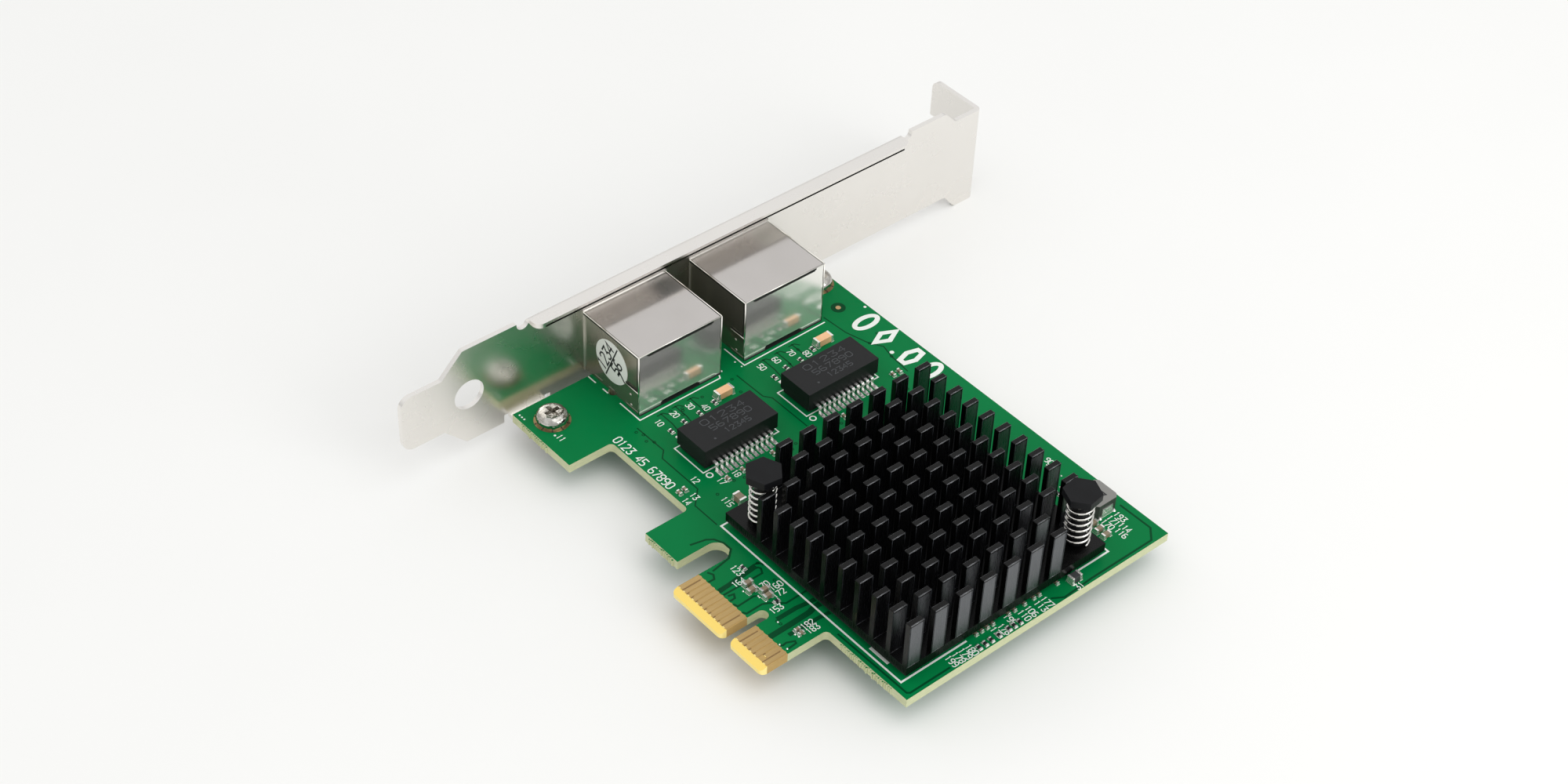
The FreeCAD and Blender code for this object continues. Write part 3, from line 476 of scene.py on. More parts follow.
def nickel_sheet(colours):
    """Cold-rolled steel sheet, stamped, folded and nickel-plated: a bright satin skin that
    blurs what it mirrors along the rolling direction."""
    look, tree, shader = finish_called("nickel_plated_steel_sheet", Metallic=1.0, Roughness=0.3)
    tint(tree, shader, mottle(tree, 12.0), colours.nickel, "#EAE7E2")
    vary(tree, shader, mottle(tree, 6.0), "Roughness", 0.24, 0.29)
    roughen(tree, shader, mottle(tree, 0.1, 3.0, (1.0, 1.0, 0.06)), 0.0009)
    return look


def bright_nickel():
    """Nickel-plated machine screws: small, bright and smooth, so they mirror in hard patches."""
    look, tree, shader = finish_called("nickel_plated_screw", Metallic=1.0, Roughness=0.06)
    tint(tree, shader, mottle(tree, 0.9), "#F0EEE8", "#6A665E")
    roughen(tree, shader, mottle(tree, 0.8, 1.0), 0.12)
    return look


def tinned_shield(colours):
    """Tinned steel sheet of the socket shields: a hazy mirror, slightly wavy from the press. A
    thin whitish film of oxide scatters part of the light. The faces that look along X carry a
    painted highlight, and the sides, which look along Y, a painted shade."""
    look, tree, shader = finish_called("tinned_steel_sheet", Metallic=0.82, Roughness=0.17)
    facing = axes(tree, "NewGeometry", "True Normal")
    side_shade = add(tree, "Math", {0: facing["Y"]}, operation="ABSOLUTE")
    endways = add(tree, "Math", {0: facing["X"]}, operation="ABSOLUTE")
    top = add(tree, "Mix", {SHARE: mottle(tree, 7.0), FIRST: colours.shield, SECOND: "#C0BCB8"},
              data_type="RGBA")
    # Painted highlight on the faces that look along X, and painted shade on the sides that look
    # along Y
    ends = add(tree, "Mix", {SHARE: endways.outputs[0], FIRST: top.outputs[MIXED],
                             SECOND: "#F4F3EE"}, data_type="RGBA")
    tint(tree, shader, side_shade.outputs[0], ends.outputs[MIXED], "#9A998C")
    # The upright walls spring back by a few degrees after bending, and so mirror things lower.
    # The bump leans them, as its height falls by this much for each step up.
    lean = add(tree, "Math", {0: axes(tree, "TexCoord", "Object")["Z"], 1: -0.165},
               operation="MULTIPLY")
    waves = add(tree, "Math", {0: mottle(tree, 4.0, 1.0), 1: 0.008 * MM, 2: lean.outputs[0]},
                operation="MULTIPLY_ADD")
    # Both are heights in metres
    bump = add(tree, "Bump", {"Height": waves.outputs[0], "Distance": 1.0, "Strength": 1.0})
    tree.links.new(bump.outputs["Normal"], shader.inputs["Normal"])
    return look


def moulded_black(name, code, grain):
    """Moulded black plastic with a fine spark-eroded grain of the given size in mm."""
    look, tree, shader = finish_called(name, Roughness=0.42, IOR=1.5, Specular_IOR_Level=0.16)
    tint(tree, shader, mottle(tree, 2.5), code, "#17181A")
    roughen(tree, shader, mottle(tree, grain), 0.006)
    return look


def moulded_epoxy(colours):
    """Transfer-moulded epoxy with silica filler: matt charcoal with a fine sandy grain about
    0.15 mm across."""
    look, tree, shader = finish_called("transfer_moulded_epoxy", Roughness=0.5, IOR=1.54,
                                       Specular_IOR_Level=0.26)
    tint(tree, shader, mottle(tree, 1.2), colours.epoxy, "#0F1011")
    roughen(tree, shader, mottle(tree, 0.15), 0.008)
    return look


def anodised_black(colours):
    """Extruded aluminium, black anodised. The broad faces of the fins keep the die's lustre and
    mirror the room in grey; their rims, the sawn tops and the narrow sides are almost black."""
    look, tree, shader = finish_called("black_anodised_aluminium", Roughness=0.3, IOR=1.5,
                                       Specular_IOR_Level=0.2)
    height = axes(tree, "TexCoord", "Object")["Z"]
    above = add(tree, "Math", {0: height, 1: FIN_FOOT * MM}, operation="GREATER_THAN")
    below = add(tree, "Math", {0: height, 1: LUSTRE_END * MM}, operation="LESS_THAN")
    on_fin = add(tree, "Math", {0: above.outputs[0], 1: below.outputs[0]}, operation="MULTIPLY")
    endways = add(tree, "Math", {0: axes(tree, "NewGeometry", "True Normal")["X"]},
                  operation="ABSOLUTE")
    # The high power leaves out all but the faces that look straight along X
    broad = add(tree, "Math", {0: endways.outputs[0], 1: 4.0}, operation="POWER")
    lustre = add(tree, "Math", {0: broad.outputs[0], 1: on_fin.outputs[0]}, operation="MULTIPLY")
    tint(tree, shader, lustre.outputs[0], colours.heatsink, "#66686C")
    tree.links.new(lustre.outputs[0], shader.inputs["Metallic"])
    die_lines = mottle(tree, 0.12, 2.0, (1.0, 1.0, 0.04))
    vary(tree, shader, die_lines, "Roughness", 0.22, 0.36)
    roughen(tree, shader, die_lines, 0.002)
    return look


def tin_solder():
    """Reflowed tin solder and tinned leads: bright, slightly grainy and softly rounded, with a
    thin whitish film of flux and oxide that scatters some light."""
    look, tree, shader = finish_called("reflowed_tin_solder", Metallic=0.8, Roughness=0.22)
    tint(tree, shader, mottle(tree, 0.4), "#FBFAF7", "#E6E5E0")
    roughen(tree, shader, mottle(tree, 0.18), 0.01)
    return look


def plain_finish(name, first, second, roughness, patch, **sockets):
    """A finish of two close colours in patches of the given size in mm."""
    look, tree, shader = finish_called(name, Roughness=roughness, **sockets)
    tint(tree, shader, mottle(tree, patch), first, second)
    roughen(tree, shader, mottle(tree, patch / 2), 0.004)
    return look


def pressed_powder():
    """Iron powder pressed round a coil. Its colour goes by which way a face looks: the top is
    light grey, and the flanks are painted dark greenish grey, as painted shade with a painted
    reflection of the green board.
    """
    look, tree, shader = finish_called("pressed_iron_powder", Roughness=0.5, IOR=1.5)
    # Painted shade and reflection: flanks darker and greenish, top light grey
    tint(tree, shader, axes(tree, "NewGeometry", "True Normal")["Z"], "#30352F", "#84837F")
    # Grit of about 0.2 mm
    roughen(tree, shader, mottle(tree, 0.2), 0.01)
    return look


def dress(look, *nodes):
    """Gives CAD nodes a material."""
    for name in nodes:
        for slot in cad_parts[name].material_slots:
            slot.material = look


def soften(width, *nodes):
    """Rounds the sharp edges of CAD nodes by a small width in mm, so that they catch the light.
    Corners that faces share are first welded, and triangles in one plane joined."""
    for name in nodes:
        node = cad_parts[name]
        weld = node.modifiers.new("shared corners", "WELD")
        weld.merge_threshold = 1e-7
        flat = node.modifiers.new("whole faces", "DECIMATE")
        flat.decimate_type = "DISSOLVE"
        flat.angle_limit = math.radians(0.5)
        bevel = node.modifiers.new("broken edges", "BEVEL")
        bevel.width = width * MM
        bevel.segments = 2
        bevel.limit_method = "ANGLE"
        bevel.angle_limit = math.radians(40)
        bevel.harden_normals = True


class CARD_OT_board(bpy.types.Operator):
    """Give the laminate its green mask, pale edges and the torn stubs of its break tabs"""
    bl_idname = "card.board"
    bl_label = "Circuit board"

    # Where the board was broken out of its panel: both ends of each stretch, on the edges
    # that face the card edge
    BREAKS = [(2.4, 9.2, -FOOT_DROP), (34.2, 40.2, -FOOT_DROP), (68.0, 79.0, 0.0)]
    STUB_PITCH = 0.42
    # Limits of a stub's length, of its half width as a share of the pitch, and of the depths of
    # its two ends as shares of the board's thickness
    STUB_PROUD = (0.08, 0.3)
    STUB_HALF = (0.25, 0.42)
    STUB_LOW = (0.8, 0.97)
    STUB_HIGH = (0.06, 0.25)

    def execute(self, context):
        laminate = masked_laminate(context.scene.card_colours)
        dress(laminate, "circuit_board")
        rng = random.Random(7)
        stubs = Relief(on_board)
        for start, end, y in self.BREAKS:
            count = round((end - start) / self.STUB_PITCH)
            for i in range(count):
                x = start + (i + 0.5) * (end - start) / count
                proud = rng.uniform(*self.STUB_PROUD)
                half = self.STUB_PITCH * rng.uniform(*self.STUB_HALF)
                low = -board_t * rng.uniform(*self.STUB_LOW)
                high = -board_t * rng.uniform(*self.STUB_HIGH)
                stubs.skin([
                    [(x - half, y + SUNK, z), (x - half / 2, y - proud, z),
                     (x + half / 2, y - proud, z), (x + half, y + SUNK, z)] for z in (low, high)])
        stubs.finish("break_tab_stubs", laminate, "board")
        return {"FINISHED"}


class CARD_OT_copper(bpy.types.Operator):
    """Draw the gaps between copper areas that show through the mask, and the vias"""
    bl_idname = "card.copper"
    bl_label = "Copper under the mask"

    # Gaps beside the card edge, read from left to right
    TAB_GAPS = [
        [(45.4, -6.13), (46.26, -5.7), (47.08, -6.18), (47.03, -7.25)],
        [(49.14, -7.2), (49.06, -5.0), (48.41, 0.11), (48.47, 0.91), (48.95, 1.3), (49.4, 1.3)],
        [(49.7, -7.2), (49.13, -0.07), (49.21, 0.39), (49.63, 0.57), (50.5, 0.1), (50.4, -7.2)],
        [(50.96, -6.81), (51.19, -5.87), (51.9, -6.27), (51.95, -7.2)],
        [(52.69, -7.21), (53.42, -6.99), (53.3, -3.91), (53.61, -3.41)],
        [(54.74, -7.26), (55.31, -6.91), (55.27, -3.97), (55.69, -3.08), (57.28, -1.08),
         (57.24, 0.64), (57.22, 4.0)],
        [(63.08, -7.2), (63.31, -6.85), (63.2, -6.14), (63.74, -4.95), (64.16, -5.1),
         (64.28, -6.65)],
    ]
    # Channels without copper that carry a pair each: path and width
    CHANNELS = [
        ([(49.55, -7.3), (49.1, -2.0), (48.85, 0.3)], 0.55),
        ([(58.9, -4.2), (58.9, -0.6), (59.2, 1.5), (59.3, 2.7)], 0.8),
        ([(60.9, -7.3), (60.85, -3.0), (60.75, 0.4), (60.4, 1.6), (60.4, 2.7)], 1.0),
        ([(62.3, -4.9), (62.4, 0.6), (62.6, 2.7)], 0.7),
    ]
    # Gaps between the sockets, the transformers and the top edge
    BACK_GAPS = [
        [(12.1, 45.58), (17.16, 45.91), (21.61, 47.15), (23.56, 48.44), (26.19, 47.8),
         (30.5, 47.4)],
        [(14.4, 5.1), (20.9, 5.2), (22.2, 3.9), (30.8, 3.9), (33.4, 1.3), (38.6, 1.3)],
        [(14.4, 25.2), (20.8, 25.3), (22.0, 26.2), (30.4, 26.2)],
    ]
    # Edge of the ground copper round the front corner, along the front edge and round the slot
    FRONT_GAPS = [
        [(73.2, 52.0), (79.5, 52.05), (81.42, 50.24), (81.41, 37.47), (81.7, 31.63),
         (80.59, 29.8)],
        [(66.5, 0.75), (81.0, 0.9), (81.3, 1.3), (81.3, 9.0)],
        [(39.42, -4.57), (40.0, -2.0), (40.7, -1.0), (42.2, -0.35), (43.83, -0.34), (45.08, -1.76),
         (45.69, -5.31)],
    ]
    # The gaps by the card edge and the front edge are wider, and channels are shallower
    WIDER = 1.5
    SHALLOWER = 0.6
    # Pairs from each socket to its transformer, and hooks at the sockets: their places along the
    # card, and the path of each from there
    PAIRS_AT, PAIR = (8.75, 11.6, 14.6, 29.6, 32.5, 35.7), [(14.0, 1.3), (17.0, 1.3), (21.4, 0.6)]
    HOOKS_AT, HOOK = (8.0, 11.0, 14.0, 29.0, 32.0, 35.0), [(14.2, 1.2), (14.2, 2.4), (15.0, 3.0)]
    # Gaps on the solder side: how many, the first one's place and their pitch. Those along Y
    # bend at a random height, and STEP across.
    UPRIGHT_GAPS = (22, 44.0, 1.6)
    LEVEL_GAPS = (8, 8.0, 4.6)
    BEND = (1.0, 4.0)
    STEP = 4.0
    LEVEL = [(14.5, 0.0), (24.0, 0.0), (27.0, 3.0), (40.0, 3.0)]
    VIA_RADIUS = 0.22
    VIA_RIM = 0.14
    VIAS = [(59.2, -4.4), (59.9, -4.4), (48.5, 0.9), (52.7, 0.6), (26.2, 47.8), (18.6, 5.2),
            (21.6, 47.2)]
    # Fields of scattered vias: how many, and limits along X and Y
    VIA_FIELDS = [(26, (14.5, 20.5), (1.5, 50.0)), (20, (31.5, 38.5), (2.0, 50.0))]

    def execute(self, context):
        colours, sizes = context.scene.card_colours, context.scene.card_sizes
        dark = mask_over_laminate("solder_mask_on_bare_laminate", colours)
        width = sizes.track_width / MM
        height = sizes.track_height / MM
        gaps = Relief(on_board)
        for path in self.BACK_GAPS:
            gaps.line(path, width, -SUNK, height)
        for path in self.TAB_GAPS + self.FRONT_GAPS:
            gaps.line(path, width * self.WIDER, -SUNK, height)
        for starts, path in ((self.PAIRS_AT, self.PAIR), (self.HOOKS_AT, self.HOOK)):
            for start in starts:
                gaps.line([(x, start + y) for x, y in path], width, -SUNK, height)
        gaps.finish("copper_gaps", dark, "board")
        channels = Relief(on_board)
        for path, span in self.CHANNELS:
            channels.line(path, span, -SUNK, height * self.SHALLOWER)
        channels.finish("bare_channels", mask_over_laminate("solder_mask_in_channels", colours),
                        "board")
        self.solder_side(dark, width, height)
        return {"FINISHED"}

    def solder_side(self, dark, width, height):
        """The gaps on the solder side, and the vias, which show on both sides."""
        rng = random.Random(11)
        back = Relief(under_board)
        count, start, pitch = self.UPRIGHT_GAPS
        for i in range(count):
            x = start + pitch * i
            bend = rng.uniform(*self.BEND)
            back.line([(x, 3.0), (x, 12.0 + bend), (x - self.STEP, 12.0 + self.STEP + bend),
                       (x - self.STEP, 40.0 - 2 * bend)], width, -SUNK, height)
        count, start, pitch = self.LEVEL_GAPS
        for i in range(count):
            y = start + pitch * i
            back.line([(x, y + up) for x, up in self.LEVEL], width, -SUNK, height)
        back.finish("copper_gaps_back", dark, "board")
        spots = self.VIAS + [(rng.uniform(*along), rng.uniform(*across))
                             for count, along, across in self.VIA_FIELDS for i in range(count)]
        for name, place in (("tented_vias", on_board), ("tented_vias_back", under_board)):
            vias = Relief(place)
            for x, y in spots:
                vias.ring(x, y, self.VIA_RADIUS, self.VIA_RIM, -SUNK, height, 12)
            vias.finish(name, dark, "board")


class CARD_OT_edge_contacts(bpy.types.Operator):
    """Plate the card-edge contacts with hard gold, and add painted highlights at their tips"""
    bl_idname = "card.edge_contacts"
    bl_label = "Card-edge contacts"

    # A tip's stretch across from its contact's middle and along from its end, height and slope
    TIP_ACROSS = (-0.34, 0.1)
    TIP_ALONG = (-0.06, 0.12)
    TIP_HEIGHT = 0.1
    TIP_SLOPE = 0.04
    # The painted shade between contacts: margin beside it, height and lengths
    MARGIN = 0.03
    SHADE_HEIGHT = 0.015
    SHORT_GAP = 0.5
    LONG_GAP = 3.4
    # A space between contacts that is wider than this is the key slot
    KEY_WIDTH = 0.6

    def execute(self, context):
        gold = hard_gold(context.scene.card_colours)
        dress(gold, "edge_contacts_front", "edge_contacts_back")
        # Painted highlight: bright gold blocks at the ends of the contacts, by the bevel
        bright = plain_finish("painted_highlight_gold_tip", "#FFF0AE", "#FFE794", 0.3, 0.4, Metallic=1.0)
        # Painted shade: bare laminate between the contacts, coloured dark brown
        gap_shade = plain_finish("painted_shade_bare_laminate", "#8F7142", "#7D6137", 0.6, 0.3, IOR=1.52)
        for name, place in (("front", on_board), ("back", under_board)):
            tips, gaps = Relief(place), Relief(place)
            contacts = solids_in("edge_contacts_" + name)
            for low, high in contacts:
                x = (low[0] + high[0]) / 2
                tips.block(x + self.TIP_ACROSS[0], x + self.TIP_ACROSS[1],
                           low[1] + self.TIP_ALONG[0], low[1] + self.TIP_ALONG[1],
                           -SUNK, self.TIP_HEIGHT, self.TIP_SLOPE)
            spaces = [(here[1][0], there[0][0], there[0][1])
                      for here, there in zip(contacts, contacts[1:])]
            tab = [i for i, (x0, x1, y) in enumerate(spaces) if x1 - x0 < self.KEY_WIDTH]
            for i in tab:
                # The painted shade reaches further up the gaps beside the outer contacts of each
                # tab
                outer = i - 1 not in tab or i + 1 not in tab
                x0, x1, y = spaces[i]
                gaps.block(x0 + self.MARGIN, x1 - self.MARGIN,
                           y, y + (self.LONG_GAP if outer else self.SHORT_GAP),
                           -SUNK, self.SHADE_HEIGHT)
            tips.finish("contact_tips_" + name, bright, "gold")
            gaps.finish("contact_gaps_" + name, gap_shade, "board")
        return {"FINISHED"}


class CARD_OT_bracket(bpy.types.Operator):
    """Finish the folded bracket and its screws, with the bare pads under their heads"""
    bl_idname = "card.bracket"
    bl_label = "Bracket and screws"

    PAD_RADIUS = 2.95
    HOLE_RADIUS = 1.65
    PAD_HEIGHT = 0.035
    PAD_VIAS = 10
    # The vias' mouths: how far in from the pad's rim, radius and height
    VIA_IN = 0.18
    VIA_RADIUS = 0.17
    VIA_HEIGHT = 0.05
    # Rim of the stiffening lip: x of its face, and heights of its top and lower corner
    LIP_X = 0.5
    LIP_TOP = 15.62
    LIP_FOOT = 14.76
    # Distance from the rim's ends, radius of its painted highlight, and depth and height of its
    # painted shade
    RIM_IN = 0.1
    RIM_RADIUS = 0.05
    SHADE_DEPTH = 0.03
    SHADE_FROM = 0.02
    SHADE_TO = 0.36

    def execute(self, context):
        dress(nickel_sheet(context.scene.card_colours), "io_bracket")
        dress(bright_nickel(), "bracket_screws")
        soften(0.12, "bracket_screws")
        self.lip_rim()
        # Bare copper, tinned thinly: the reddish metal shows through
        copper = plain_finish("tinned_copper_pad", "#9A8662", "#7C6A4C", 0.32, 0.8, Metallic=1.0)
        # The mouths of the small vias look like dark brown dots
        dark = plain_finish("plated_via_mouth", "#3B2F20", "#2C2318", 0.5, 0.3)
        for suffix, place in (("", on_board), ("_back", under_board)):
            pads, mouths = Relief(place), Relief(place)
            for low, high in solids_in("bracket_screws"):
                x, y = (low[0] + high[0]) / 2, (low[1] + high[1]) / 2
                middle = (self.PAD_RADIUS + self.HOLE_RADIUS) / 2
                pads.ring(x, y, middle, self.PAD_RADIUS - self.HOLE_RADIUS, -SUNK,
                          self.PAD_HEIGHT, 40)
                for px, py in circle(x, y, self.PAD_RADIUS - self.VIA_IN, self.PAD_VIAS):
                    mouths.disc(px, py, self.VIA_RADIUS, 0.0, self.VIA_HEIGHT, steps=10)
            pads.finish("screw_pads" + suffix, copper, "gold")
            mouths.finish("screw_pad_vias" + suffix, dark, "board")
        return {"FINISHED"}

    def lip_rim(self):
        """The edge of the lip: a bar of painted highlight along its upper corner, and a strip of
        painted shade low on its face.
        """
        places = [drawn(v.co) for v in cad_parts["io_bracket"].data.vertices]
        ends = [y for x, y, z in places if x > self.LIP_X - SUNK and z > self.LIP_FOOT - SUNK]
        start, end = min(ends) + self.RIM_IN, max(ends) - self.RIM_IN
        # Painted highlight along the lip's upper corner, and painted shade on its face below it
        bright = plain_finish("painted_highlight_lip_corner", "#FFFFFF", "#F6F4EF", 0.2, 1.0,
                              Metallic=1.0)
        shade = plain_finish("painted_shade_under_lip", "#77746E", "#615E58", 0.45, 0.6, Metallic=1.0)
        x, z = self.LIP_X - self.RIM_RADIUS, self.LIP_TOP - self.RIM_RADIUS
        rim = Relief(on_board)
        rim.bar((x, start, z), (x, end, z), self.RIM_RADIUS)
        rim.finish("bracket_rim", bright, "bracket", smooth=True)
        lip_shade = Relief(on_board)
        lip_shade.block(self.LIP_X - self.SHADE_DEPTH, self.LIP_X, start, end,
                      self.LIP_FOOT + self.SHADE_FROM, self.LIP_FOOT + self.SHADE_TO)
        lip_shade.finish("bracket_lip_shade", shade, "bracket")


class CARD_OT_sockets(bpy.types.Operator):
    """Finish the two network sockets: shields, insulators, contacts and link lights"""
    bl_idname = "card.sockets"
    bl_label = "Network sockets"

    FRONT_X = -1.84
    TOP = 11.82
    FOLD = 0.11
    RIM_HEIGHT = 0.35
    # The tab that locks the side: length, height, thickness and radius of its fold
    TAB_LENGTH = 3.3
    TAB_HEIGHT = 4.6
    TAB_THICKNESS = 0.12
    TAB_FOLD = 0.088
    # How far the painted shade in a seam stands out on either side of the sheet, and where it
    # stops on a side
    OUT = 0.02
    SHADE_FRONT = 0.2
    SHADE_BACK = 0.3
    # Painted shade in the seams of a side: depths below the top, width down the back with its
    # start above the tab, and heights above the tab
    UNDER_TOP = (0.42, 0.24)
    UPRIGHT_WIDTH = 0.12
    UPRIGHT_START = 0.2
    OVER_TAB = (0.12, 0.36)
    # Painted shade in the back wall, below its top edge and in the notch at its foot: start and
    # end as shares of its width, and height from and to
    WALL_SHADES = [(0.1, 0.9, 11.38, 11.74), (0.27, 0.74, 0.0, 0.5)]
    # Painted shadow on the board behind the socket's foot: depth, distance from its ends and
    # height
    FOOT_SHADE = (0.22, 0.1, 0.09)

    def execute(self, context):
        shield = tinned_shield(context.scene.card_colours)
        black = moulded_black("moulded_black_polyester", "#101112", 0.2)
        # Gold flashed phosphor bronze wire: bright yellow, drawn smooth
        wire = plain_finish("gold_flashed_bronze_wire", "#E2B95F", "#CFA34C", 0.22, 0.5,
                            Metallic=1.0)
        # Diffusing polycarbonate: milky white when unlit
        light = plain_finish("milky_polycarbonate", "#DEDFCF", "#D2D3C2", 0.2, 1.0, IOR=1.58)
        # Painted highlight: the folds are coloured brighter than the rest of the tin
        bright = plain_finish("painted_highlight_on_folds", "#F2F0EA", "#DEDBD4", 0.16, 1.0, Metallic=1.0)
        # Painted shade: near-black strips in the seams, below the back's top edge, in its notch
        # and on the board behind it
        shadow = plain_finish("painted_shade_in_seams", "#0A0C0A", "#060706", 0.7, 1.0)
        for side in ("left", "right"):
            dress(shield, "jack_shield_" + side)
            dress(black, "jack_housing_" + side)
            dress(wire, "jack_contacts_" + side)
            dress(light, "link_lights_" + side)
            low, high = solids_in("jack_shield_" + side)[0]
            sides = (low[1] + self.TAB_THICKNESS, high[1] - self.TAB_THICKNESS)
            self.folds(side, high[0], sides, bright)
            self.shade_lines(side, high[0], sides, shadow)
        return {"FINISHED"}

    def folds(self, side, back, sides, look):
        """Rounded folds, coloured brighter than the sheet as a painted highlight."""
        front, top = self.FRONT_X, self.TOP
        bars = Relief(on_board)
        bars.bar((back, sides[0], top), (back, sides[1], top), self.FOLD)
        for y, way in zip(sides, (-1, 1)):
            bars.bar((front, y, top), (back, y, top), self.FOLD)
            bars.bar((back, y, 0.0), (back, y, top), self.FOLD)
            bars.bar((front, y, 0.0), (front, y, top + self.RIM_HEIGHT), self.FOLD)
            tab = y + way * self.TAB_THICKNESS / 2
            bars.bar((back - self.TAB_LENGTH, tab, self.TAB_HEIGHT), (back, tab, self.TAB_HEIGHT),
                     self.TAB_FOLD)
        bars.finish("shield_folds_" + side, look, "shield", smooth=True)

    def shade_lines(self, side, back, sides, look):
        """Painted shade in the seams beside the folds, and painted shadow behind the foot."""
        top, end = self.TOP, back - self.SHADE_BACK
        lower, upper = top - self.UNDER_TOP[0], top - self.UNDER_TOP[1]
        tab = self.TAB_HEIGHT
        # Along the top, down the back and over the tab: x from and to, and height from and to
        side_shade_lines = (
            (self.FRONT_X + self.SHADE_FRONT, end, lower, upper),
            (end - self.UPRIGHT_WIDTH, end, tab + self.UPRIGHT_START, upper),
            (back - self.TAB_LENGTH, end, tab + self.OVER_TAB[0], tab + self.OVER_TAB[1]))
        shade_lines = Relief(on_board)
        for y in sides:
            for x0, x1, z0, z1 in side_shade_lines:
                shade_lines.block(x0, x1, y - self.OUT, y + self.OUT, z0, z1)
        depth, inset, height = self.FOOT_SHADE
        shade_lines.block(back - self.OUT, back + depth, sides[0] + inset, sides[1] - inset, 0.0, height)
        span = sides[1] - sides[0]
        for start, stop, z0, z1 in self.WALL_SHADES:
            shade_lines.block(back - self.OUT, back + self.OUT, sides[0] + start * span,
                        sides[0] + stop * span, z0, z1)
        shade_lines.finish("shield_painted_shade_" + side, look, "shield")


class CARD_OT_transformers(bpy.types.Operator):
    """Finish the transformers, with pale laser marks, pin-one dimples and soldered feet"""
    bl_idname = "card.transformers"
    bl_label = "Transformers"

    MARK_DEPTH = 0.012
    STROKE = 0.15
    # Rows of plain figures along the case: text, place across and along, height and width
    ROWS = [("01234", 0.22, 0.53, 1.15, 1.71), ("567890", 0.465, 0.55, 1.1, 1.38),
            ("12345", 0.72, 0.55, 1.0, 1.14)]
    # The pin-one dimple: shares across and along, and radius
    DIMPLE = (0.78, 0.22, 0.2)
    # The solder under a foot: from and to along it from its toe, what it spreads beside it,
    # height and slope
    SOLDER_ALONG = (0.95, 0.6)
    SOLDER_BESIDE = 0.08
    SOLDER_HEIGHT = 0.1
    SOLDER_SLOPE = 0.07
    # Bright shoulders and toes: half length and slope of each, and the shoulders' place
    SHOULDER_HALF = 0.17
    SHOULDER_OUT = 0.3
    SHOULDER_IN = 0.06
    TOE_HALF = 0.16
    TOE_TOP = 0.19
    GLINT_SLOPE = 0.1

    def execute(self, context):
        epoxy = moulded_epoxy(context.scene.card_colours)
        tin = tin_solder()
        # Laser-marked epoxy: the beam leaves a faint grey trace
        marked = plain_finish("laser_marked_epoxy", "#3D4043", "#36393C", 0.6, 0.4, IOR=1.54)
        for side in ("left", "right"):
            case, leads = "transformer_case_" + side, "transformer_leads_" + side
            dress(epoxy, case)
            soften(0.12, case)
            dress(tin, leads)
            low, high = solids_in(case)[0]
            self.marks(side, low, high, marked)
            feet = Relief(on_board)
            for foot_low, foot_high in solids_in(leads):
                self.glints(feet, foot_low, foot_high, low[0], high[0])
            feet.finish("transformer_solder_" + side, tin, "lead")
        return {"FINISHED"}

    def marks(self, side, low, high, look):
        """The rows of figures and the dimple on a case."""
        def on_case(x, y, z):
            return on_board(low[0] + x, low[1] + y, high[2] + z)

        width, length = high[0] - low[0], high[1] - low[1]
        marks = Relief(on_case)
        for text, across, along, height, wide in self.ROWS:
            marks.figures(text, width * across, length * along, height, self.STROKE, -SUNK,
                          self.MARK_DEPTH, 90.0, wide)
        across, along, radius = self.DIMPLE
        marks.disc(width * across, length * along, radius, -SUNK, self.MARK_DEPTH)
        marks.finish("case_marks_" + side, look, "case")

    def glints(self, feet, low, high, left, right):
        """The solder under a lead's foot, and its bright shoulder and toe."""
        way = 1 if low[0] > (left + right) / 2 else -1
        toe = high[0] if way > 0 else low[0]
        bend = right + self.SHOULDER_OUT if way > 0 else left - self.SHOULDER_OUT
        x0, x1 = sorted((toe - way * self.SOLDER_ALONG[0], toe + way * self.SOLDER_ALONG[1]))
        feet.block(x0, x1, low[1] - self.SOLDER_BESIDE, high[1] + self.SOLDER_BESIDE, -SUNK,
                   self.SOLDER_HEIGHT, self.SOLDER_SLOPE)
        feet.block(bend - self.SHOULDER_HALF, bend + self.SHOULDER_HALF,
                   low[1] + self.SHOULDER_IN, high[1] - self.SHOULDER_IN,
                   high[2] - self.GLINT_SLOPE, high[2] + self.GLINT_SLOPE / 2, self.GLINT_SLOPE)
        feet.block(toe - self.TOE_HALF, toe + self.TOE_HALF, low[1], high[1], 0.0, self.TOE_TOP,
                   self.GLINT_SLOPE)


